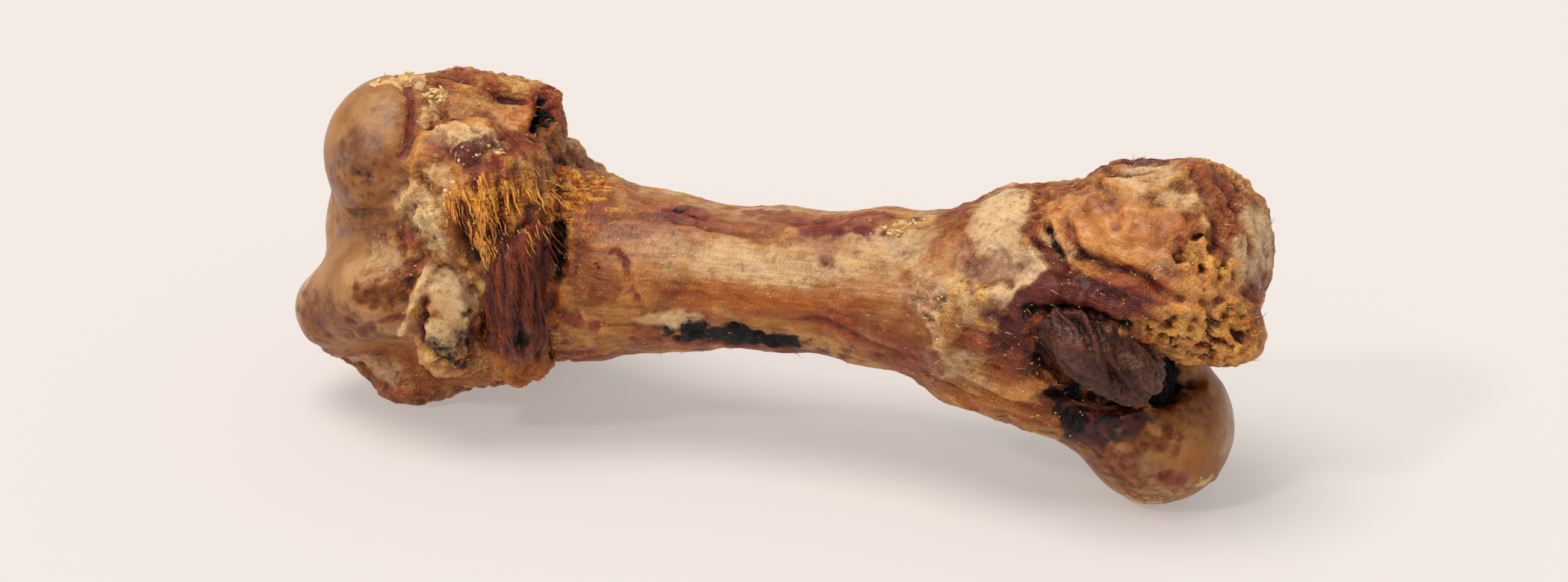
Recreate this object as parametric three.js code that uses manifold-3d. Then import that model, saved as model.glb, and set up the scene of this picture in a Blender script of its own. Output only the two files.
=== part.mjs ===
// A roasted femur of young cattle, sold and thrown away as a chewing bone, with dried meat still on it.
// It lies on its inner side: +X runs from the knee end to the hip end, +Z is up, and -Y is the back of the
// leg, where both condyles and the hollow beside the hip ball show. Millimetres; Z = 0 is what it rests on.
//
// The bone is one blended body. Every lump is a distance function, a smooth union joins the lumps, a smooth
// difference takes out the hollows, and a grid of cells turns the zero level into one closed mesh.
import * as THREE from "three";
import { mergeVertices } from "three/addons/utils/BufferGeometryUtils.js";
import Module from "manifold-3d";

// ---- driving dimensions ------------------------------------------------------------------------------
const SHAFT_RADIUS = 23.5; // at the waist, dried skin of the bone included
const SHAFT_HEIGHT = 63; // of the waist's axis above the ground
const SHAFT_BOW = 5; // of the shaft towards the front of the leg
const HEAD_RADIUS = 27; // ball of the hip joint
const HIP_X = 132.5; // centre of the ball
const KNEE_X = -118; // middle of the knee end
const KNEE_HALF_WIDTH = 57; // across the two condyles, along Z
const CONDYLE_RADIUS = 26; // the upper, outer one
const TROCHANTER_RADIUS = 33; // blunt block above the ball
const REST_CUT = 1.4; // depth of the small flats that it rests on
const BONE_CELL = 6; // edge of a grid cell
const MEAT_CELL = 3.4;
const STRAP_CELL = 4;
const CELL_RIM = 0.03; // share of a cell that its vertex keeps clear of, so that no two vertices meet
const PULL_ROUNDS = 3; // of moving each vertex onto the surface
const AIR_GAP = 0.7; // left between pieces that touch
const NORMAL_STEP = 0.05; // for slopes of the distance functions
const FLATTEST_SLOPE = 0.05;
const NEAREST = 1e-9; // to an ellipsoid's centre

const at = (x, y, z) => new THREE.Vector3(x, y, z);

// ---- distance functions ------------------------------------------------------------------------------
const scratch = new THREE.Vector3();
const scaled = new THREE.Vector3();

// An ellipsoid, turned by Euler angles in degrees about its own centre.
function ellipsoid(centre, radii, turn = [0, 0, 0]) {
  const angles = turn.map(THREE.MathUtils.degToRad);
  const back = new THREE.Quaternion().setFromEuler(new THREE.Euler(...angles)).invert();
  return (p) => {
    scratch.copy(p).sub(centre).applyQuaternion(back);
    const near = scaled.copy(scratch).divide(radii).length();
    const far = scaled.divide(radii).length();
    return far < NEAREST ? -Math.min(radii.x, radii.y, radii.z) : (near * (near - 1)) / far;
  };
}

// A rod with round ends whose radius runs from one end's to the other's.
function taperedRod(from, to, radiusFrom, radiusTo) {
  const axis = to.clone().sub(from);
  const square = axis.lengthSq();
  return (p) => {
    scratch.copy(p).sub(from);
    const share = THREE.MathUtils.clamp(scratch.dot(axis) / square, 0, 1);
    const radius = THREE.MathUtils.lerp(radiusFrom, radiusTo, THREE.MathUtils.smoothstep(share, 0, 1));
    return scratch.addScaledVector(axis, -share).length() - radius;
  };
}

// Rods end to end through a row of points, each [point, radius].
function rodChain(...stations) {
  return stations.slice(1).map(([to, radiusTo], i) => taperedRod(stations[i][0], to, stations[i][1], radiusTo));
}

function smoothUnion(a, b, width) {
  const mix = Math.max(width - Math.abs(a - b), 0) / width;
  return Math.min(a, b) - (mix * mix * width) / 4;
}

const smoothCut = (a, b, width) => -smoothUnion(-a, b, width);

// lumps and hollows are lists of [width of the blend, distance function].
function blended(lumps, hollows = []) {
  return (p) => {
    let d = lumps.reduce((sum, [width, shape]) => smoothUnion(sum, shape(p), width), 1e3);
    for (const [width, shape] of hollows) d = smoothCut(d, shape(p), width);
    return d;
  };
}

// ---- the bone ----------------------------------------------------------------------------------------
const kneeMiddle = at(KNEE_X, 14, KNEE_HALF_WIDTH + 5);
const ball = at(HIP_X, 3, HEAD_RADIUS - REST_CUT);

function shaftLumps() {
  const rods = rodChain(
    [at(-108, 9, 61), 38],
    [at(-76, 5, 58.5), 32],
    [at(-48, SHAFT_BOW, 60), 26.5],
    [at(0, SHAFT_BOW, SHAFT_HEIGHT), SHAFT_RADIUS],
    [at(34, SHAFT_BOW, SHAFT_HEIGHT + 1.5), SHAFT_RADIUS + 2],
    [at(66, 4, SHAFT_HEIGHT), 29],
    [at(92, 4, SHAFT_HEIGHT + 4), 33],
  );
  return rods.map((rod) => [9, rod]);
}

// Core, the two condyles at the back, the two ridges of the kneecap's pulley at the front.
function kneeLumps() {
  return [
    [14, ellipsoid(kneeMiddle, at(43, 42, 52))],
    [9, ellipsoid(at(-142, 0, 98), at(CONDYLE_RADIUS, CONDYLE_RADIUS + 6, CONDYLE_RADIUS), [0, 0, 12])],
    [9, taperedRod(at(-143, 6, 88), at(-153, 12, 62), 23, 22)],
    [11, taperedRod(at(-164, -9, 37), at(-136, -23, 59), 16, 20)],
    [16, taperedRod(at(-150, 28, 84), at(-114, 48, 82), 17, 15)],
    [16, taperedRod(at(-148, 26, 30), at(-110, 50, 18.5), 18, 19.5)],
  ];
}

// What has dried on the knee end: gristle pads, the torn tendon's mass and the roll of meat along the top.
function kneeGristle() {
  return [
    [6, ellipsoid(at(-113, -30, 49), at(14, 15, 22), [0, -12, 0])],
    [8, ellipsoid(at(-106, -16, 86), at(25, 24, 34), [0, -8, 0])],
    [6, ellipsoid(at(-91, -13, 86), at(13, 21, 26), [0, -6, 0])],
    [8, taperedRod(at(-122, 12, 112), at(-95, 10, 111), 13.5, 12)],
    [10, taperedRod(at(-160, 2, 27), at(-140, 4, 14.5), 14, 15)],
    [10, taperedRod(at(-142, 4, 14), at(-112, 10, 23), 15, 14)],
  ];
}

// Neck, ball, the trochanter's block with its overhanging lip, and the crest that ends in it.
function hipLumps() {
  return [
    [14, taperedRod(at(80, -2, 60), at(122, -2, 34), 29, 22)],
    [5, ellipsoid(ball, at(HEAD_RADIUS, HEAD_RADIUS, HEAD_RADIUS))],
    [8, taperedRod(at(126, 8, 40), at(128, 10, 74), 17, 20)],
    [14, taperedRod(at(84, 6, 73), at(118, 8, 87), 31, 27)],
    [10, ellipsoid(at(132, 6, 90), at(36, 36, TROCHANTER_RADIUS - 1))],
    [8, ellipsoid(at(150, -14, 75), at(21, 15, 14), [0, 12, 0])],
    [8, taperedRod(at(100, -24, 82), at(140, -25, 80), 8, 11)],
  ];
}

function boneHollows() {
  return [
    [8, taperedRod(at(-182, -20, 66), at(-138, -38, 80), 10, 9)], // between the condyles
    [9, taperedRod(at(-168, 66, 58), at(-110, 80, 58), 17, 17)], // the kneecap's groove
    [6, ellipsoid(at(117, -28, 57), at(21, 20, 12), [0, 14, 0])], // beside the ball
    [6, ellipsoid(at(-70, -32, 80), at(9, 10, 12))], // under the tendon's edge
  ];
}

const boneField = blended([...shaftLumps(), ...kneeLumps(), ...kneeGristle(), ...hipLumps()], boneHollows());

// ---- from a distance function to a mesh ----------------------------------------------------------------
const slope = new THREE.Vector3();
const probe = new THREE.Vector3();

function slopeAt(field, p) {
  for (const axis of ["x", "y", "z"]) {
    probe.copy(p)[axis] += NORMAL_STEP;
    slope[axis] = field(probe);
    probe[axis] -= 2 * NORMAL_STEP;
    slope[axis] = (slope[axis] - field(probe)) / (2 * NORMAL_STEP);
  }
  return slope;
}

// One vertex in each cell that the surface crosses, pulled onto the surface, and a quad round each crossed edge.
function polygonise(field, box, cell) {
  const size = box.getSize(new THREE.Vector3()).divideScalar(cell).ceil();
  const [nx, ny, nz] = [size.x + 1, size.y + 1, size.z + 1];
  const index = (i, j, k) => i + nx * (j + ny * k);
  const corner = (i, j, k) => at(i, j, k).multiplyScalar(cell).add(box.min);
  const value = new Float32Array(nx * ny * nz);
  for (let k = 0; k < nz; k++)
    for (let j = 0; j < ny; j++) for (let i = 0; i < nx; i++) value[index(i, j, k)] = field(corner(i, j, k));

  const inside = (i, j, k) => value[index(i, j, k)] < 0;
  const vertexOf = new Map();
  const positions = [];
  const steps = [at(1, 0, 0), at(0, 1, 0), at(0, 0, 1)];

  function vertex(i, j, k) {
    const key = index(i, j, k);
    if (vertexOf.has(key)) return vertexOf.get(key);
    const mean = at(0, 0, 0);
    let crossings = 0;
    for (let n = 0; n < 8; n++)
      for (const step of steps) {
        const a = at(i + (n & 1), j + ((n >> 1) & 1), k + (n >> 2));
        const b = a.clone().add(step);
        if (b.x > i + 1 || b.y > j + 1 || b.z > k + 1 || inside(a.x, a.y, a.z) === inside(b.x, b.y, b.z)) continue;
        const va = value[index(a.x, a.y, a.z)];
        mean.add(a.addScaledVector(step, va / (va - value[index(b.x, b.y, b.z)])));
        crossings++;
      }
    const p = mean.divideScalar(crossings).multiplyScalar(cell).add(box.min);
    const low = corner(i + CELL_RIM, j + CELL_RIM, k + CELL_RIM);
    const high = low.clone().addScalar(cell * (1 - 2 * CELL_RIM));
    for (let round = 0; round < PULL_ROUNDS; round++) {
      const pull = slopeAt(field, p);
      const move = THREE.MathUtils.clamp(-field(p) / Math.max(pull.lengthSq(), FLATTEST_SLOPE), -cell / 3, cell / 3);
      p.addScaledVector(pull, move).clamp(low, high);
    }
    positions.push(p.x, p.y, p.z);
    vertexOf.set(key, positions.length / 3 - 1);
    return positions.length / 3 - 1;
  }

  const triangles = [];
  const quad = (a, b, c, d, flip) => triangles.push(...(flip ? [a, c, b, a, d, c] : [a, b, c, a, c, d]));
  for (let k = 1; k < nz - 1; k++)
    for (let j = 1; j < ny - 1; j++)
      for (let i = 1; i < nx - 1; i++) {
        const here = inside(i, j, k);
        if (here !== inside(i + 1, j, k))
          quad(vertex(i, j - 1, k - 1), vertex(i, j, k - 1), vertex(i, j, k), vertex(i, j - 1, k), !here);
        if (here !== inside(i, j + 1, k))
          quad(vertex(i - 1, j, k - 1), vertex(i - 1, j, k), vertex(i, j, k), vertex(i, j, k - 1), !here);
        if (here !== inside(i, j, k + 1))
          quad(vertex(i - 1, j - 1, k), vertex(i, j - 1, k), vertex(i, j, k), vertex(i - 1, j, k), !here);
      }
  const geometry = new THREE.BufferGeometry();
  geometry.setAttribute("position", new THREE.Float32BufferAttribute(positions, 3));
  geometry.setIndex(triangles);
  return geometry;
}

// ---- joins and cuts ------------------------------------------------------------------------------------
const wasm = await Module();
wasm.setup();

function solidOf(geometry) {
  const bare = geometry.clone();
  bare.deleteAttribute("normal");
  bare.deleteAttribute("uv");
  const merged = mergeVertices(bare);
  return new wasm.Manifold(
    new wasm.Mesh({
      numProp: 3,
      vertProperties: merged.getAttribute("position").array,
      triVerts: new Uint32Array(merged.index.array),
    }),
  );
}

function geometryOf(solid) {
  const mesh = solid.getMesh();
  const geometry = new THREE.BufferGeometry();
  geometry.setAttribute("position", new THREE.BufferAttribute(Float32Array.from(mesh.vertProperties), 3));
  geometry.setIndex(new THREE.BufferAttribute(Uint32Array.from(mesh.triVerts), 1));
  geometry.computeVertexNormals();
  return geometry;
}

// ---- the parts -----------------------------------------------------------------------------------------
const WORK_BOX = new THREE.Box3(at(-195, -75, -12), at(190, 95, 140));

// Everything below the ground, which leaves the small flats.
function groundBlock() {
  const size = WORK_BOX.getSize(new THREE.Vector3());
  const depth = -WORK_BOX.min.z;
  return solidOf(new THREE.BoxGeometry(size.x, size.y, 2 * depth).translate(0, 10, -depth));
}

// The scrap of dark meat that has shrunk into the hollow beside the ball.
function meatField() {
  return blended([
    [4, ellipsoid(at(117, -26, 63), at(19, 13, 12), [0, 18, 0])],
    [4, ellipsoid(at(107, -25, 68), at(10, 11, 9), [0, 0, 20])],
    [4, ellipsoid(at(128, -27, 58), at(9, 9, 10))],
  ]);
}

// The strap of dried muscle that runs down over the neck of the knee end.
function strapField() {
  return blended([
    [6, ellipsoid(at(-89, -15, 66), at(16, 25, 40), [0, -4, 0])],
    [6, ellipsoid(at(-93, -9, 42), at(14, 26, 24))],
  ]);
}

function part(name, solid, color, roughness) {
  const material = new THREE.MeshStandardMaterial({ color, roughness, metalness: 0 });
  const mesh = new THREE.Mesh(geometryOf(solid), material);
  mesh.name = name;
  return mesh;
}

// The bone grown by the air gap, which is what its neighbours are cut by.
const grownBone = solidOf(polygonise((p) => boneField(p) - AIR_GAP, WORK_BOX, BONE_CELL));
const bone = solidOf(polygonise(boneField, WORK_BOX, BONE_CELL)).subtract(groundBlock());

// What stands out of the bone, without the crumbs that a cut leaves.
function outsideBone(field, cell) {
  const pieces = solidOf(polygonise(field, WORK_BOX, cell)).subtract(grownBone).decompose();
  return pieces.reduce((largest, piece) => (piece.volume() > largest.volume() ? piece : largest));
}

const femur = new THREE.Group();
femur.add(part("femur", bone, 0xb98a55, 0.5));
femur.add(part("hollow_meat", outsideBone(meatField(), MEAT_CELL), 0x4a2a26, 0.6));
femur.add(part("muscle_strap", outsideBone(strapField(), STRAP_CELL), 0x7a3f30, 0.45));

// The origin lies on the ground under the middle of the whole piece.
const middle = new THREE.Box3().setFromObject(femur).getCenter(at(0, 0, 0));
for (const mesh of femur.children) mesh.geometry.translate(-middle.x, -middle.y, 0);

export default femur;
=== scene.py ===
"""Looks of a roasted femur of young cattle with dried meat on it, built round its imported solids.

Places are in millimetres from the frame: x from the bone's knee tip, its hip tip or its middle, y towards
the front of the leg, z up from the ground. The knee end lies towards -X and the back of the leg towards -Y.
"""
import math
from collections import namedtuple

import bmesh
import bpy
import numpy as np
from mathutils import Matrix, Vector


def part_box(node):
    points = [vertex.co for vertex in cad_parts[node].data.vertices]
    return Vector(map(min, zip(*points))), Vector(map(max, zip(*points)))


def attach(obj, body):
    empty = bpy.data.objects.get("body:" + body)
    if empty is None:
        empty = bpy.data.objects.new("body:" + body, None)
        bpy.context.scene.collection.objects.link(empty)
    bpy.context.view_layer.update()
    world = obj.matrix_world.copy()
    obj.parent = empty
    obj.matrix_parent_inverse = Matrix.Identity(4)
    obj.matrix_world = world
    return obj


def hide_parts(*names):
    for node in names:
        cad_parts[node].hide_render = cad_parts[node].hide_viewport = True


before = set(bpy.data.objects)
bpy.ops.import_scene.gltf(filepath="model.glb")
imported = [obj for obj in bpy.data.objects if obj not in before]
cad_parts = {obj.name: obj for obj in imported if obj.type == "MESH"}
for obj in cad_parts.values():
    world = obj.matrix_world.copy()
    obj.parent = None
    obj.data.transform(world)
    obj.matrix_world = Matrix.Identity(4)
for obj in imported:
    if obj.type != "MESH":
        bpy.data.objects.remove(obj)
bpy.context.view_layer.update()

bl_info = {
    "name": "Roasted Femur",
    "version": (1, 0, 0),
    "blender": (4, 5, 0),
    "location": "3D View > Sidebar > Roasted Femur",
    "description": "Builds the surfaces of a roasted bone with dried meat round its packed solids",
    "category": "Object",
}

MM = 0.001
LOW, HIGH = (np.array(corner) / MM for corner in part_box("femur"))

MERGED = 1e-6  # metres: corners nearer than this are one
FLOOR_GAP = 0.05  # mm: the skin stays this far off the ground
GROUND_CLEAR = 4  # mm: nothing loose is rooted below this height

# The camera and the floor, in metres.
AZIMUTH = math.radians(16)
ELEVATION = math.radians(25)
LENS = 85.0
SENSOR = 36.0
VIEW_WIDTH = 0.546
TARGET = Vector((0.0047, -0.0123, 0.061))
FLOOR_REACH = 6.0


# ---- places -----------------------------------------------------------------------------------------------
def knee(x, y, z):
    """A place x mm in from the knee tip."""
    return np.array([LOW[0] + x, y, z], float)


def shaft(x, y, z):
    """A place x mm from the middle, towards the hip."""
    return np.array([(LOW[0] + HIGH[0]) / 2 + x, y, z], float)


def hip(x, y, z):
    """A place x mm in from the hip tip."""
    return np.array([HIGH[0] - x, y, z], float)


def run(place, *spots):
    """The places of a line along the surface."""
    return [place(*spot) for spot in spots]


# ---- noise and distances, on arrays of points in millimetres ----------------------------------------------
class Noise:
    """Smooth gradient noise in space, about -1 to 1, the same on every run."""

    def __init__(self, seed):
        rng = np.random.default_rng(seed)
        self.order = rng.permutation(256)
        slopes = rng.normal(size=(256, 3))
        self.slopes = slopes / np.linalg.norm(slopes, axis=1, keepdims=True)

    def layer(self, q):
        base = np.floor(q).astype(np.int64)
        part = q - base
        ease = part ** 3 * (part * (part * 6 - 15) + 10)
        total = np.zeros(len(q))
        for corner in np.ndindex(2, 2, 2):
            cell = (base + corner) & 255
            pick = self.order[(self.order[(self.order[cell[:, 0]] + cell[:, 1]) & 255] + cell[:, 2]) & 255]
            share = np.prod(np.where(corner, ease, 1 - ease), axis=1)
            total += share * np.einsum("ij,ij->i", self.slopes[pick], part - corner)
        return total * 1.6

    def __call__(self, points, size, octaves=1):
        q = points / size + 37.3
        return sum(self.layer(q * 2 ** k) * 0.5 ** k for k in range(octaves))

    def folds(self, points, size, octaves=2):
        """Round lumps with sharp creases between them, 0 in a crease to about 1."""
        q = points / size + 11.9
        return sum(np.abs(self.layer(q * 1.9 ** k)) * 0.5 ** k for k in range(octaves)) * 1.1

    def push(self, points, size, amount):
        """The points, each moved about by up to amount."""
        return points + amount * np.stack([self.layer(points / size + shift) for shift in (3.7, 51.3, 97.1)],
                                          axis=1)


def smoothstep(low, high, x):
    t = np.clip((x - low) / (high - low), 0, 1)
    return t * t * (3 - 2 * t)


def distance_to_path(points, path):
    """Distance to a line through the path's places, and how far along it the nearest place lies, 0 to 1."""
    path = np.array(path)
    legs = np.linalg.norm(np.diff(path, axis=0), axis=1)
    start = np.concatenate([[0], np.cumsum(legs)])
    nearest = np.full(len(points), np.inf)
    along = np.zeros(len(points))
    for i, leg in enumerate(legs):
        step = (path[i + 1] - path[i]) / leg
        share = np.clip((points - path[i]) @ step, 0, leg)
        far = np.linalg.norm(points - path[i] - share[:, None] * step, axis=1)
        closer = far < nearest
        nearest[closer] = far[closer]
        along[closer] = ((start[i] + share) / start[-1])[closer]
    return nearest, along


lumps = Noise(11)
wrinkles = Noise(23)
edges = Noise(37)

# ---- which way the fibres run -----------------------------------------------------------------------------
Grain = namedtuple("Grain", "where reach along")
GRAINS = (
    Grain(shaft(0, 0, 62), 70, (1, 0, 0)),
    Grain(shaft(-45, 0, 62), 25, (1, 0, 0.05)),
    Grain(knee(92, -45, 62), 20, (0.12, -0.15, -1)),
    Grain(knee(86, -42, 98), 18, (0.2, -0.35, -1)),
    Grain(knee(60, -10, 122), 22, (1, -0.3, -0.1)),
    Grain(knee(30, -20, 100), 24, (0.3, 0, 1)),
    Grain(knee(38, -40, 45), 26, (0.8, 0.2, 0.45)),
    Grain(knee(60, 30, 60), 50, (0, 0, 1)),
    Grain(hip(84, -20, 95), 16, (0.5, -0.4, -0.9)),
    Grain(hip(55, -30, 105), 18, (1, -0.2, -0.25)),
    Grain(hip(30, -32, 95), 20, (1, -0.1, -0.75)),
    Grain(hip(60, -45, 82), 14, (1, 0, -0.05)),
    Grain(hip(70, -30, 45), 20, (1, 0, -0.5)),
    Grain(hip(38, -20, 28), 26, (0.5, 0, 1)),
    Grain(hip(30, 30, 90), 40, (0.2, 0.6, 1)),
)


def grain_of(points):
    """Unit direction of the fibres at each point."""
    total = np.zeros_like(points)
    for grain in GRAINS:
        along = np.array(grain.along, float)
        weight = np.exp(-(np.linalg.norm(points - grain.where, axis=1) / grain.reach) ** 2) + 1e-6
        total += weight[:, None] * along / np.linalg.norm(along)
    return total / np.maximum(np.linalg.norm(total, axis=1, keepdims=True), 1e-6)


def smeared(field, points, along, length, steps=5):
    """A field averaged along the fibres, so that its creases run with them."""
    shifts = np.linspace(-length / 2, length / 2, steps)
    return sum(field(points + along * shift) for shift in shifts) / steps


def strands(points, size, octaves=2):
    """Noise drawn out along the fibres of each region, about -1 to 1."""
    reach = np.stack([np.exp(-(np.linalg.norm(points - grain.where, axis=1) / grain.reach) ** 2) + 1e-9
                      for grain in GRAINS])
    share = reach / reach.sum(axis=0)
    total = np.zeros(len(points))
    for weight, grain in zip(share, GRAINS):
        near = weight > 0.03
        axis = np.array(grain.along) / np.linalg.norm(grain.along)
        drawn = points[near] - 0.87 * (points[near] @ axis)[:, None] * axis
        total[near] += weight[near] * wrinkles(drawn, size, octaves)
    return total / np.sqrt((share ** 2).sum(axis=0))


def ledges(points, size, steps):
    """Flat layers that end in sharp steps, like torn skin lying over skin, 0 to about 1."""
    rise = (lumps(lumps.push(points + 141, size, size / 3), size, 3) + 1) / 2 * steps
    whole = np.floor(rise)
    return (whole + smoothstep(0.72, 1.0, rise - whole)) / steps


# ---- where each finish shows ------------------------------------------------------------------------------
# A patch covers an ellipsoid about a place; rag is how far its edge wanders, as a share of its reach.
Patch = namedtuple("Patch", "where reach strength rag", defaults=(1.0, 0.35))
# A seam is a line along the surface that sinks (deep > 0) or stands up (deep < 0), and may carry a finish.
Seam = namedtuple("Seam", "path width deep finish strength", defaults=(None, 1.0))

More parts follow.
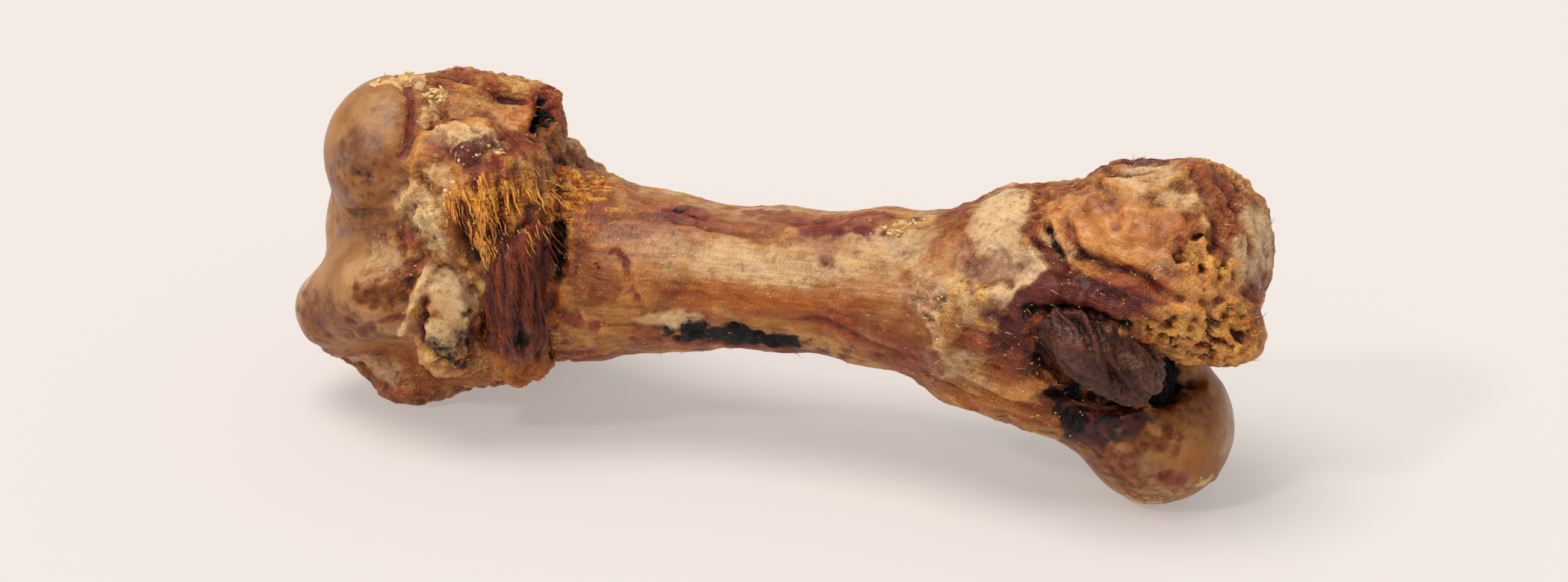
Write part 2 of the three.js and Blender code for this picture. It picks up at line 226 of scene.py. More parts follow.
PATCHES = {
    "cartilage": (
        Patch(knee(26, -26, 104), (27, 40, 29), 1, 0.10),
        Patch(knee(24, -36, 50), (34, 32, 25), 1, 0.12),
        Patch(knee(22, 20, 58), (28, 45, 62), 1, 0.12),
        Patch(knee(40, 50, 60), (34, 26, 40), 1, 0.12),
        Patch(hip(36, -8, 22), (33, 38, 32), 1, 0.15),
    ),
    "cream": (
        Patch(shaft(0, -27, 77), (38, 12, 7), 0.66, 0.4),
        Patch(shaft(24, -27, 80), (20, 12, 8), 0.62, 0.5),
        Patch(shaft(-16, -27, 76), (18, 10, 7), 0.62, 0.5),
        Patch(shaft(46, -24, 82), (30, 14, 14), 0.6, 0.5),
        Patch(shaft(-38, -24, 76), (26, 14, 12), 0.45, 0.5),
        Patch(shaft(0, -8, 90), (60, 12, 6), 0.45, 0.6),
        Patch(hip(106, -30, 84), (14, 12, 12), 0.6, 0.5),
        Patch(hip(28, -34, 15), (11, 9, 8), 0.55, 0.6),
        Patch(hip(100, -40, 54), (16, 8, 6), 0.5, 0.7),
        Patch(hip(93, -20, 101), (10, 22, 9), 1, 0.3),
        Patch(hip(90, -31, 95), (9, 11, 9), 1, 0.3),
        Patch(hip(80, -37, 91), (8, 8, 8), 1, 0.3),
        Patch(hip(84, -41, 85), (7, 6, 5), 0.8, 0.4),
        Patch(hip(70, -32, 98), (8, 8, 7), 0.8, 0.4),
        Patch(hip(50, -21, 117), (9, 8, 4), 0.9, 0.5),
        Patch(hip(44, -12, 120), (10, 8, 4), 0.7, 0.6),
        Patch(hip(96, -45, 60), (10, 5, 2.5), 0.6, 0.8),
        Patch(hip(30, -24, 117), (8, 6, 5), 0.7, 0.6),
        Patch(hip(64, -32, 102), (7, 6, 4), 0.5, 0.8),
        Patch(hip(8, -14, 99), (9, 14, 13), 0.9, 0.5),
        Patch(hip(34, -38, 101), (8, 6, 4), 0.55, 0.8),
        Patch(hip(96, -34, 76), (10, 10, 8), 0.5, 0.7),
        Patch(shaft(-31, -34, 55), (12, 7, 3.5), 0.9, 0.5),
        Patch(knee(42, -46, 72), (10, 6, 5), 0.7, 0.4),
        Patch(knee(72, -53, 60), (8, 7, 9), 1, 0.4),
        Patch(knee(67, -53, 67), (5, 6, 7), 0.9, 0.4),
        Patch(knee(70, -56, 52), (8, 7, 8), 0.9, 0.4),
        Patch(knee(34, -48, 67), (13, 8, 6), 0.35, 0.5),
        Patch(knee(36, -28, 119), (9, 10, 6), 0.4, 0.3),
        Patch(knee(28, -25, 19), (12, 8, 4), 0.8, 0.8),
        Patch(shaft(0, 30, 70), (50, 14, 12), 0.6, 0.5),
        Patch(hip(70, 40, 80), (30, 14, 20), 0.6, 0.5),
    ),
    # painted sheen: light edges at the far rims of both condyles and of the ball
    "pale": (
        Patch(knee(4, -16, 92), (8, 24, 28), 0.5, 0.3),
        Patch(hip(6, -6, 32), (10, 24, 24), 0.85, 0.2),
        Patch(knee(4, -24, 38), (6, 16, 14), 0.5, 0.3),
    ),
    "orange": (
        Patch(shaft(0, -32, 66), (38, 9, 5.5), 0.66, 0.5),
        Patch(shaft(-45, -34, 66), (14, 10, 12), 0.5, 0.5),
        Patch(shaft(40, -30, 70), (18, 12, 9), 0.5, 0.5),
        Patch(hip(109, -27, 90), (10, 9, 8), 0.5, 0.6),
        Patch(hip(83, -45, 56), (9, 6, 5), 0.6, 0.6),
        Patch(knee(52, -22, 20), (30, 18, 10), 0.6, 0.5),
        Patch(knee(104, -42, 60), (6, 8, 12), 0.6, 0.6),
        Patch(knee(30, -46, 38), (14, 8, 5), 0.6, 0.6),
        Patch(knee(40, -30, 86), (12, 10, 8), 0.5, 0.6),
        Patch(hip(82, -34, 42), (22, 14, 10), 0.6, 0.5),
        Patch(hip(22, -28, 24), (9, 10, 7), 0.4, 0.4),
        Patch(shaft(0, 34, 50), (50, 14, 10), 0.5, 0.5),
    ),
    "amber": (
        Patch(hip(58, -27, 109), (20, 16, 11), 1, 0.3),
        Patch(hip(45, -34, 105), (18, 12, 9), 0.9, 0.4),
        Patch(hip(36, -33, 111), (13, 10, 7), 0.8, 0.4),
        Patch(hip(50, -40, 98), (14, 8, 5), 0.5, 0.5),
        Patch(hip(22, -38, 90), (16, 12, 8), 0.7, 0.5),
        Patch(hip(76, -42, 50), (9, 6, 5), 0.6, 0.5),
        Patch(knee(56, -37, 111), (7, 8, 9), 0.8, 0.4),
        Patch(knee(66, -30, 119), (13, 9, 5), 0.7, 0.5),
        Patch(knee(73, -47, 106), (9, 7, 7), 0.7, 0.5),
        Patch(knee(84, -15, 116), (9, 8, 6), 0.8, 0.5),
        Patch(knee(62, -14, 120), (9, 7, 5), 0.5, 0.6),
        Patch(knee(48, -38, 90), (8, 8, 8), 0.5, 0.5),
    ),
    "gristle": (
        Patch(knee(53, -43, 95), (8, 7, 7), 0.9, 0.5),
        Patch(knee(65, -47, 105), (8, 6, 5), 0.8, 0.5),
        Patch(knee(61, -48, 92), (9, 7, 8), 1, 0.4),
        Patch(knee(69, -51, 98), (6, 6, 6), 0.7, 0.5),
        Patch(knee(67, -53, 84), (5, 6, 9), 0.9, 0.5),
        Patch(knee(73, -36, 117), (13, 8, 5), 0.8, 0.6),
        Patch(knee(36, -26, 15), (9, 7, 4), 0.5, 0.7),
        Patch(shaft(63, -38, 75), (6, 5, 5), 1, 0.7),
        Patch(shaft(68, -42, 67), (5, 5, 5), 0.7, 0.8),
    ),
    "golden": (
        Patch(knee(85, -48, 96), (12, 10, 12), 0.95, 0.5),
        Patch(knee(93, -43, 98), (8, 9, 9), 0.7, 0.5),
        Patch(knee(84, -50, 86), (8, 7, 7), 0.9, 0.5),
        Patch(knee(104, -18, 93), (8, 12, 8), 0.9, 0.5),
        Patch(knee(110, -12, 92), (6, 10, 5), 0.8, 0.5),
        Patch(knee(102, -28, 90), (5, 7, 8), 0.9, 0.5),
    ),
    "mottle": (
        Patch(hip(48, -32, 24), (18, 13, 14), 0.5, 0.5),
        Patch(hip(34, -30, 36), (14, 11, 9), 0.46, 0.5),
        Patch(hip(30, -30, 12), (12, 10, 6), 0.36, 0.5),
        Patch(knee(30, -48, 42), (24, 10, 10), 0.6, 0.6),
        Patch(knee(12, -38, 40), (12, 10, 10), 0.6, 0.5),
        Patch(knee(30, -42, 98), (12, 10, 10), 0.45, 0.5),
        Patch(knee(6, -24, 86), (8, 16, 14), 0.4, 0.5),
    ),
    "crust": (
        Patch(knee(40, -11, 124.5), (10, 7, 4), 1, 0.7),
        Patch(knee(53, -17, 120), (5, 6, 5), 0.9, 0.7),
        Patch(knee(54, -23, 117), (4, 5, 7), 0.9, 0.7),
        Patch(knee(78, -38, 114), (9, 6, 4), 0.5, 0.9),
        Patch(shaft(48, -13, 91), (9, 7, 4), 0.6, 0.9),
        Patch(hip(39, -27, 5), (8, 8, 4), 0.5, 0.8),
        Patch(hip(17, -23, 14), (6, 7, 4), 0.5, 0.8),
    ),
    "spongy": (
        Patch(hip(22, -34, 102), (9, 8, 7), 1, 0.5),
        Patch(hip(16, -33, 96), (7, 8, 6), 0.9, 0.5),
        Patch(hip(22, -44, 79), (14, 10, 7), 1, 0.4),
        Patch(hip(10, -38, 76), (8, 12, 7), 1, 0.4),
        Patch(hip(32, -48, 78), (6, 6, 5), 0.9, 0.4),
        Patch(hip(17, -38, 68), (9, 9, 5), 0.9, 0.4),
        Patch(hip(15, -38, 86), (8, 8, 5), 0.6, 0.5),
    ),
    "maroon": (
        Patch(shaft(18, -12, 88), (24, 7, 4.5), 0.8, 0.8),
        Patch(shaft(-29, -14, 87), (11, 6, 4), 0.8, 0.8),
        Patch(shaft(-5, -16, 86), (16, 6, 3), 0.45, 0.9),
        Patch(shaft(36, -9, 91), (14, 6, 3), 0.7, 0.8),
        Patch(shaft(-46, -22, 84), (14, 8, 7), 0.45, 0.9),
        Patch(shaft(32, -30, 62), (16, 8, 6), 0.6, 0.7),
        Patch(shaft(50, -32, 54), (20, 10, 8), 0.6, 0.8),
        Patch(shaft(-60, -36, 53), (14, 6, 3), 0.7, 0.7),
        Patch(shaft(-6, -28, 45), (34, 10, 5), 0.8, 0.7),
        Patch(hip(108, -14, 98), (9, 8, 4), 0.5, 0.8),
        Patch(hip(91, -45, 66), (8, 6, 7), 0.6, 0.8),
        Patch(hip(85, -46, 59), (7, 6, 6), 0.6, 0.8),
        Patch(hip(95, -35, 91), (8, 6, 5), 0.45, 0.9),
        Patch(hip(36, -30, 108), (16, 8, 5), 0.5, 0.9),
        Patch(hip(57, -36, 98), (14, 6, 4), 0.55, 0.9),
        Patch(hip(42, -43, 93), (13, 6, 5), 0.7, 0.6),
        Patch(hip(4, -22, 87), (6, 12, 5), 0.55, 0.6),
        Patch(hip(22, -14, 115), (7, 8, 5), 0.4, 0.8),
        Patch(hip(28, -6, 120), (9, 8, 5), 0.45, 0.8),
        Patch(hip(60, -26, 111), (5, 10, 4), 0.45, 0.9),
        Patch(shaft(30, -20, 84), (26, 8, 4), 0.5, 0.9),
        Patch(shaft(62, -30, 70), (12, 8, 8), 0.45, 0.9),
        Patch(hip(28, -33, 17), (8, 7, 5), 0.8, 0.5),
        Patch(knee(53, -44, 79), (6, 5, 5), 0.9, 0.4),
        Patch(knee(84, -44, 108), (10, 8, 6), 0.7, 0.8),
        Patch(knee(62, -42, 113), (10, 7, 5), 0.5, 0.9),
        Patch(knee(90, -26, 112), (10, 8, 7), 0.8, 0.6),
        Patch(knee(60, -4, 125), (14, 7, 4), 0.7, 0.8),
        Patch(knee(73, -7, 123), (13, 6, 4), 0.6, 0.9),
        Patch(knee(91, -6, 118), (8, 8, 6), 0.8, 0.5),
        Patch(knee(98, -20, 98), (7, 12, 9), 0.6, 0.6),
        Patch(knee(101, -43, 47), (8, 6, 4), 0.7, 0.8),
        Patch(knee(40, 20, 110), (30, 20, 14), 0.5, 0.9),
        Patch(hip(80, 34, 60), (40, 14, 20), 0.5, 0.9),
        Patch(shaft(-40, 30, 60), (30, 14, 20), 0.5, 0.9),
    ),
    # Grey-blue bruises, and painted sheen where edges catch the light, as on the ball's right side
    "grey_bruise_and_sheen": (
        Patch(knee(31, -40, 107), (10, 10, 8), 0.55, 0.5),
        Patch(knee(14, -26, 90), (10, 16, 14), 0.4, 0.6),
        Patch(knee(18, -40, 38), (9, 8, 8), 0.4, 0.6),
        Patch(knee(72, -56, 48), (9, 6, 7), 0.6, 0.8),
        Patch(hip(20, -14, 38), (9, 16, 12), 0.5, 0.4),
        Patch(hip(93, -36, 90), (10, 7, 6), 0.5, 0.9),
        Patch(hip(40, -34, 24), (10, 8, 6), 0.5, 0.8),
        Patch(hip(53, -22, 113), (8, 6, 3), 0.4, 0.8),
        Patch(knee(30, 40, 50), (20, 20, 30), 0.4, 0.8),
    ),
    "olive": (
        Patch(knee(40, -43, 101), (9, 8, 8), 0.6, 0.7),
        Patch(knee(32, -38, 88), (13, 8, 7), 0.5, 0.8),
        Patch(knee(47, -54, 60), (11, 6, 5.5), 1, 0.7),
        Patch(knee(53, -53, 64), (4, 5, 4), 0.8, 0.5),
        Patch(knee(12, -38, 40), (10, 8, 9), 0.7, 0.6),
        Patch(knee(20, -42, 50), (10, 8, 7), 0.5, 0.9),
        # painted shade in the gap between the gristle and the golden fibres
        Patch(knee(76, -52, 88), (5, 6, 7), 0.8, 0.7),
        Patch(knee(73, -50, 95), (4, 5, 4), 0.7, 0.7),
        Patch(knee(79, -51, 80), (5, 5, 5), 0.9, 0.6),
        Patch(hip(50, -34, 25), (15, 11, 11), 0.85, 0.9),
        Patch(hip(42, -36, 34), (12, 8, 7), 1.0, 0.8),
        Patch(hip(27, -26, 43), (11, 10, 6), 0.9, 0.7),
        Patch(hip(56, -34, 16), (10, 8, 6), 0.6, 0.9),
        Patch(hip(44, -33, 18), (14, 11, 10), 0.55, 0.9),
        # painted shade: darkens the top of the outer condyle
        Patch(knee(38, -32, 113), (15, 16, 11), 0.42, 0.5),
        Patch(knee(30, -48, 43), (22, 9, 9), 0.8, 0.9),
        Patch(knee(14, -36, 44), (12, 9, 8), 0.6, 0.9),
        Patch(shaft(-60, -34, 66), (12, 12, 12), 0.6, 0.6),
    ),
    "purple": (
        Patch(knee(77, -42, 113), (7, 6, 4), 0.7, 0.9),
        Patch(hip(82, -45, 71), (6, 6, 9), 0.9, 0.6),
        Patch(hip(86, -44, 79), (7, 6, 5), 0.5, 0.8),
        Patch(hip(60, 0, 118), (26, 9, 6), 0.8, 0.6),
        # painted shade between the rim and the scrap
        Patch(hip(58, -43, 83), (20, 6, 5), 1, 0.3),
    ),
    "meat": (
        Patch(knee(94, -49, 64), (13, 12, 28), 1, 0.25),
        Patch(knee(99, -42, 88), (8, 8, 9), 0.8, 0.5),
        Patch(hip(56, -40, 66), (26, 14, 14), 1, 0.3),
    ),
    "wine": (
        Patch(hip(54, -37, 36), (13, 9, 9), 1.1, 0.6),
        Patch(hip(44, -34, 42), (10, 7, 6), 0.9, 0.4),
        Patch(hip(66, -38, 44), (8, 8, 6), 0.7, 0.5),
    ),
    # Burnt black, and also painted shade: in the void under the trochanter's overhang, the dark hole by the
    # roll, and the clefts and gaps
    "char_and_shade": (
        Patch(shaft(-7, -29, 49), (23, 9, 5.5), 1.3, 0.3),
        Patch(knee(75, -54, 45), (8, 6, 7), 0.6, 0.9),
        Patch(knee(67, -57, 42), (7, 6, 6), 0.55, 0.9),
        # painted shade in the cleft beside the strap
        Patch(knee(104, -32, 81), (2.5, 6, 7), 0.7, 0.8),
        Patch(hip(61, -38, 40), (8, 8, 5), 0.75, 0.8),
        # painted shade in the dark hole at the end of the roll
        Patch(knee(92, -9, 116), (4, 5, 5), 1, 0.4),
        Patch(knee(94, -50, 48), (4, 5, 4), 0.8, 0.5),
        # painted shadow: near-black in the void under the trochanter's overhang
        Patch(hip(33, -24, 50), (10, 11, 6), 1.1, 0.3),
        Patch(hip(50, -36, 49), (15, 9, 5), 1.1, 0.3),
        # painted shade between the purple rim and the scrap
        Patch(hip(62, -42, 80), (14, 5, 3), 0.6, 0.5),
        Patch(hip(64, -36, 36), (5, 6, 5), 0.6, 0.6),
    ),
}

SEAMS = (
    # the bruised, crusted edge of the outer condyle
    Seam(run(knee, (42, -12, 124), (48, -23, 120), (50, -29, 117), (51, -37, 110), (48, -41, 106)),
         2.8, 1.6, "maroon", 0.9),
    Seam(run(knee, (48, -41, 106), (52, -43, 99), (44, -43, 91), (32, -40, 84)), 2.4, 1.8, "olive", 0.6),
    Seam(run(knee, (41, -43, 101), (36, -43, 102), (34, -42, 99)), 1.2, 1.4, "char_and_shade", 0.5),
    # the fold over the upper edge of the inner condyle
    Seam(run(knee, (17, -22, 67), (24, -28, 72), (31, -34, 77), (46, -39, 82), (54, -44, 82)),
         2.4, -0.9, "purple", 0.5),
    Seam(run(knee, (22, -30, 77), (34, -36, 83), (46, -40, 87)), 2.2, 2.4, "olive", 0.8),
    Seam(run(knee, (20, -42, 35), (32, -48, 40), (44, -53, 48), (54, -52, 54)), 2.4, 2.0, "maroon", 0.8),
    # bright bands of tendon between the inner condyle and the pad
    Seam(run(knee, (64, -48, 74), (61, -51, 67), (58, -53, 59), (52, -51, 47), (44, -44, 36)),
         2.2, -1.6, "cream", 0.9),
    Seam(run(knee, (57, -46, 72), (55, -49, 66), (54, -51, 58)), 1.6, 1.6, "maroon", 0.9),
    # creases round the gristle pad
    Seam(run(knee, (62, -54, 70), (62, -55, 60), (60, -54, 48), (64, -48, 36)), 1.8, 1.8, "maroon", 0.8),
    Seam(run(knee, (78, -50, 68), (79, -50, 58), (80, -50, 46)), 2.0, 2.0, "maroon", 0.8),
    # the dark clefts beside the strap, with painted shade laid in them
    Seam(run(knee, (102, -26, 88), (105, -33, 80), (106, -35, 75), (105, -39, 67)), 1.8, 3.0, "char_and_shade", 0.8),
    Seam(run(knee, (104, -40, 64), (103, -43, 55), (104, -42, 47)), 1.8, 1.6, "maroon", 0.8),
    Seam(run(knee, (80, -48, 92), (81, -50, 84), (81, -51, 76)), 1.6, 2.0, "char_and_shade", 0.7),
    # folds along the roll of meat on top
    Seam(run(knee, (52, -2, 124), (68, -8, 124), (84, -8, 120), (92, -8, 115)), 1.8, 2.2, "maroon", 0.9),
    Seam(run(knee, (58, -12, 122), (74, -18, 120), (86, -22, 114)), 1.6, 1.6, "maroon", 0.7),
    Seam(run(knee, (66, -2, 126), (80, -3, 124), (92, -2, 119)), 1.6, -1.6, "maroon", 0.6),
    Seam(run(knee, (60, -22, 119), (72, -30, 118), (82, -34, 112)), 1.8, 1.3),
    # painted shade in the dark hole at the end of the roll
    Seam(run(knee, (88, -2, 121), (92, -9, 117), (90, -16, 111)), 2.4, 3.4, "char_and_shade", 0.9),
    # a vein, a split and long wrinkles of the skin on the shaft
    Seam(run(shaft, (-55, -31, 75), (-50, -31, 78), (-47, -32, 76), (-45, -33, 70), (-40, -36, 60)),
         1.3, 1.1, "maroon", 1.0),
    Seam(run(shaft, (-57, -34, 74), (-53, -35, 70)), 0.9, 0.9, "char_and_shade", 0.8),
    Seam(run(shaft, (-36, -12, 87), (-31, -14, 88), (-24, -14, 86)), 1.2, 1.2, "char_and_shade", 0.9),
    Seam(run(shaft, (-62, -26, 86), (-44, -18, 86), (-24, -17, 84), (0, -20, 84)), 1.6, 1.0, "maroon", 0.6),
    Seam(run(shaft, (4, -14, 87), (20, -10, 89), (38, -7, 92), (50, -8, 93)), 1.6, 0.8, "maroon", 0.9),
    Seam(run(shaft, (-62, -36, 52), (-46, -36, 52), (-30, -33, 51)), 1.4, 0.8, "maroon", 0.8),
    Seam(run(shaft, (10, -33, 60), (28, -33, 62), (48, -34, 54), (64, -40, 52)), 1.6, 0.9, "maroon", 0.8),
    # the two long slits and the pits of the cream band
    Seam(run(hip, (84, -24, 102), (79, -28, 99), (74, -31, 97), (65, -38, 92)), 1.9, 3.2, "maroon", 1.0),
    Seam(run(hip, (76, -23, 104), (72, -29, 100), (68, -34, 96)), 1.2, 2.2, "char_and_shade", 0.8),
    Seam(run(hip, (86, -38, 88), (83, -40, 85)), 2.2, 2.2, "maroon", 0.7),
    Seam(run(hip, (97, -28, 97), (100, -36, 88), (97, -40, 82), (86, -38, 88)), 1.1, 0.9, "maroon", 0.5),
    # the purple rim of the hollow beside the ball
    Seam(run(hip, (87, -45, 64), (83, -45, 71), (79, -43, 81), (71, -42, 88), (62, -41, 90),
          (51, -44, 88), (41, -46, 88), (33, -47, 86)), 5.0, -1.6, "purple", 1.0),
    # painted shade under the rim
    Seam(run(hip, (74, -43, 80), (62, -43, 83), (52, -46, 82), (40, -47, 78)), 2.4, 2.6, "char_and_shade", 0.9),
    # folds over the block above the ball
    Seam(run(hip, (71, -23, 107), (68, -27, 104), (62, -34, 99), (53, -39, 97), (43, -41, 98),
          (34, -43, 94), (28, -44, 89)), 1.9, 2.4, "maroon", 0.9),
    Seam(run(hip, (60, -39, 94), (48, -42, 93), (38, -45, 90)), 2.4, -1.6, "maroon", 0.5),
    Seam(run(hip, (68, -10, 116), (58, -18, 116), (50, -24, 114), (38, -26, 115), (30, -30, 109)), 2.4, 2.0,
         "grey_bruise_and_sheen", 0.4),
    Seam(run(hip, (62, -10, 118), (50, -14, 120), (40, -12, 121)), 1.8, 1.6, "purple", 0.7),
    Seam(run(hip, (62, -20, 114), (57, -28, 109), (50, -33, 105), (40, -34, 107)), 2.6, -1.8, "amber", 0.9),
    Seam(run(hip, (56, -22, 115), (50, -29, 110), (42, -30, 111)), 1.6, 1.4, "maroon", 0.6),
    Seam(run(hip, (30, -18, 118), (24, -24, 113), (19, -32, 106)), 2.2, -1.4, "cream", 0.6),
    Seam(run(hip, (34, -8, 121), (26, -16, 117), (20, -24, 111), (16, -30, 104)), 2.2, 1.8, "maroon", 0.5),
    Seam(run(hip, (22, -8, 118), (12, -14, 110), (6, -20, 98)), 1.8, 1.8, "maroon", 0.6),
    Seam(run(hip, (30, -44, 91), (20, -42, 90), (8, -36, 85)), 1.8, 2.2, "olive", 0.7),
    # the ball's torn ligament and the lower edge of the neck
    Seam(run(hip, (62, -38, 40), (54, -38, 34), (50, -36, 28)), 2.4, 1.8, "wine", 0.9),
    Seam(run(hip, (36, -38, 18), (29, -34, 20), (22, -28, 20)), 2.0, 1.5, "maroon", 0.6),
    Seam(run(hip, (100, -42, 52), (84, -40, 46), (70, -38, 38)), 1.8, 1.2, "maroon", 0.6),
)
# Deep places: here strength is how far they sink, in millimetres.
PITS = (
    Patch(hip(50, -36, 48), (17, 10, 6), 5.0, 0.3),
    Patch(hip(33, -24, 50), (12, 12, 7), 6.0, 0.3),
    Patch(hip(62, -40, 80), (16, 6, 3.5), 3.0, 0.3),
    Patch(knee(92, -9, 117), (4, 6, 5), 5.0, 0.3),
    Patch(knee(105, -33, 78), (2.5, 6, 8), 2.0, 0.5),
    Patch(knee(77, -52, 87), (3.5, 6, 10), 4.0, 0.5),
    Patch(knee(86, -50, 90), (2.5, 6, 8), 2.5, 0.6),
    Patch(knee(47, -54, 60), (10, 6, 5), 1.5, 0.6),
    Patch(hip(91, -36, 90), (8, 7, 5), 2.0, 0.5),
    Patch(hip(86, -45, 71), (5, 6, 8), 2.0, 0.5),
)

# The roll of long fibres on top of the knee end.
ROLL = Patch(knee(70, -12, 122), (34, 26, 14), 1.0, 0.0)

# Torn edges, where hairs and crumbs cling.
TORN_EDGES = (
    run(knee, (22, -24, 20), (38, -26, 13), (56, -24, 14), (78, -28, 18), (96, -34, 28)),
    run(knee, (108, -36, 40), (125, -32, 38), (140, -28, 38)),
    run(shaft, (35, -26, 48), (55, -30, 46), (75, -34, 44), (95, -34, 36)),
    run(hip, (48, -26, 6), (36, -28, 7), (24, -24, 9), (16, -20, 14)),
    run(hip, (34, -46, 72), (22, -42, 66), (10, -36, 66), (4, -30, 76)),
    run(knee, (96, -36, 104), (100, -26, 98), (108, -16, 96)),
)
# Where the tendon is frayed into fibres: the mass of them first, then the thin edges.
FRAYED = (
    run(knee, (80, -50, 101), (84, -51, 94), (84, -52, 84)),
    run(knee, (92, -44, 102), (98, -38, 99), (102, -28, 96), (106, -18, 96), (112, -10, 95)),
    run(knee, (72, -51, 100), (74, -53, 90), (75, -54, 80)),
)
FINISHES = ("cartilage", "cream", "pale", "orange", "amber", "gristle", "golden", "mottle", "crust",
            "spongy", "grey_bruise_and_sheen",
            "olive", "maroon", "meat", "purple", "wine", "char_and_shade")


def calmness(covers):
    """1 where the skin is smooth: over the gristle caps, and less so where it is waxy."""
    calm = np.minimum(1, covers["cartilage"] * 1.4)
    for finish, share in (("cream", 0.85), ("amber", 0.8), ("pale", 0.7), ("orange", 0.5)):
        calm = np.maximum(calm, share * covers[finish])
    return calm


def patch_cover(points, patch, rough_edge):
    away = np.linalg.norm((points - patch.where) / patch.reach, axis=1)
    return patch.strength * smoothstep(-0.4, 0.4, 1 - away + patch.rag * rough_edge)


def finish_covers(points):
    """How much of each finish shows at each point, 0 to 1."""
    rough_edge = edges(points, 9, 3) + 0.6 * edges(points + 91, 3.5, 2)
    covers = {finish: np.zeros(len(points)) for finish in FINISHES}
    for finish, patches in PATCHES.items():
        for patch in patches:
            covers[finish] = np.maximum(covers[finish], patch_cover(points, patch, rough_edge))
    for seam in SEAMS:
        if seam.finish:
            away, along = distance_to_path(points, seam.path)
            ends = smoothstep(0, 0.12, along) * smoothstep(1, 0.88, along)
            width = seam.width * (0.9 + 0.5 * rough_edge)
            cover = seam.strength * (0.4 + 0.6 * ends) * smoothstep(1.25, 0.55, away / np.maximum(width, 0.1))
            covers[seam.finish] = np.maximum(covers[seam.finish], cover)
    return covers


# ---- relief -----------------------------------------------------------------------------------------------
def seam_relief(points):
    """Height that the seams add, in millimetres."""
    wander = np.stack([wrinkles(points + shift, 7, 2) for shift in (0, 57, 113)], axis=1)
    height = np.zeros(len(points))
    for seam in SEAMS:
        away, along = distance_to_path(points + 1.2 * wander, seam.path)
        ends = smoothstep(0, 0.15, along) * smoothstep(1, 0.85, along)
        bell = np.exp(-(away / seam.width) ** 2) - 0.35 * np.exp(-((away - 2 * seam.width) / seam.width) ** 2)
        height -= seam.deep * (0.3 + 0.7 * ends) * bell
    return height


def wildness(points):
    """1 on the torn, fleshy ends and less on the shaft."""
    from_knee = points[:, 0] - LOW[0]
    from_hip = HIGH[0] - points[:, 0]
    return 0.25 + 0.75 * np.maximum(smoothstep(125, 95, from_knee), smoothstep(130, 85, from_hip))


def coarse_relief(points, covers, along):
    """Lumps, folds and hollows, in millimetres along the normal."""
    smooth = calmness(covers)
    rough = (1 - 0.97 * smooth) * wildness(points)
    folds = smeared(lambda q: lumps.folds(lumps.push(q, 16, 5), 14, 2), points, along, 11)
    height = 4.2 * rough * (folds - 0.36)
    height += 1.1 * lumps(points, 26, 2) * (0.3 + 0.7 * rough) * (1 - 0.7 * smooth)
    height += 3.6 * rough * (ledges(points, 24, 7) - 0.5)
    height += 0.7 * strands(points, 4.5) * (1 - smooth)
    height += 2.4 * covers["gristle"] * (0.3 - lumps.folds(lumps.push(points, 8, 3), 8, 2))
    height += 1.5 * covers["cream"] * wildness(points) * (lumps.folds(lumps.push(points, 9, 3), 11, 1) - 0.2)
    height += 1.6 * covers["amber"] * (lumps.folds(lumps.push(points, 10, 4), 13, 2) - 0.2)
    height += 2.2 * covers["golden"] * strands(points + 5, 3.2)
    roll = patch_cover(points, ROLL, 0.0)
    height += 2.4 * roll * strands(points + 9, 5)
    height -= 2.4 * covers["char_and_shade"] * smoothstep(-0.1, 0.6, lumps(points + 71, 7, 2))
    height -= 1.2 * covers["spongy"]
    rough_edge = edges(points, 9, 3)
    for pit in PITS:
        height -= patch_cover(points, pit, rough_edge)
    return np.clip(height, -8, 4) + seam_relief(points)


def fine_relief(points, covers, along):
    """Pores, fibres, flakes and grit, in millimetres along the normal."""
    rough = (1 - 0.97 * calmness(covers)) * (0.35 + 0.65 * wildness(points))
    folds = smeared(lambda q: wrinkles.folds(wrinkles.push(q, 8, 3), 5, 2), points, along, 4)
    height = 1.5 * rough * (folds - 0.35)
    height += 1.1 * rough * (ledges(points + 53, 9, 6) - 0.5)
    height += 0.35 * strands(points + 3, 2.4) * rough
    pores = smoothstep(0.0, 0.4, wrinkles(points + 9, 4.4, 2))
    height -= 3.6 * covers["spongy"] * pores
    height += 1.0 * covers["golden"] * strands(points + 7, 2.0)
    height += 1.5 * covers["crust"] * wrinkles.folds(points + 31, 4, 3)
    height += 0.9 * covers["gristle"] * (0.3 - wrinkles.folds(points + 5, 3.4, 2))
    height += 0.5 * covers["char_and_shade"] * wrinkles(points + 63, 2.6, 2)
    return height


# ---- meshes -----------------------------------------------------------------------------------------------
def points_of(mesh):
    co = np.empty(len(mesh.vertices) * 3)
    mesh.vertices.foreach_get("co", co)
    return co.reshape(-1, 3) / MM


def normals_of(mesh):
    normals = np.empty(len(mesh.vertices) * 3)
    mesh.vertex_normals.foreach_get("vector", normals)
    return normals.reshape(-1, 3)


def set_points(mesh, points):
    mesh.vertices.foreach_set("co", (points * MM).ravel())
    mesh.update()


def store(mesh, name, values):
    """A value or a direction on each vertex, for the material to read."""
    kind = "FLOAT_VECTOR" if values.ndim == 2 else "FLOAT"
    attribute = mesh.attributes.new(name, kind, "POINT")
    attribute.data.foreach_set("vector" if values.ndim == 2 else "value", values.astype(np.float32).ravel())


def evened(mesh, values, rounds):
    """Values on the vertices, each taken halfway to its neighbours' mean, a number of rounds."""
    pairs = np.empty(len(mesh.edges) * 2, np.int64)
    mesh.edges.foreach_get("vertices", pairs)
    first, second = pairs.reshape(-1, 2).T
    count = np.bincount(pairs, minlength=len(values))[:, None]
    values = values.copy()
    for _ in range(rounds):
        total = np.stack([np.bincount(first, column[second], len(values))
                          + np.bincount(second, column[first], len(values)) for column in values.T], axis=1)
        values = 0.5 * values + 0.5 * total / count
    return values


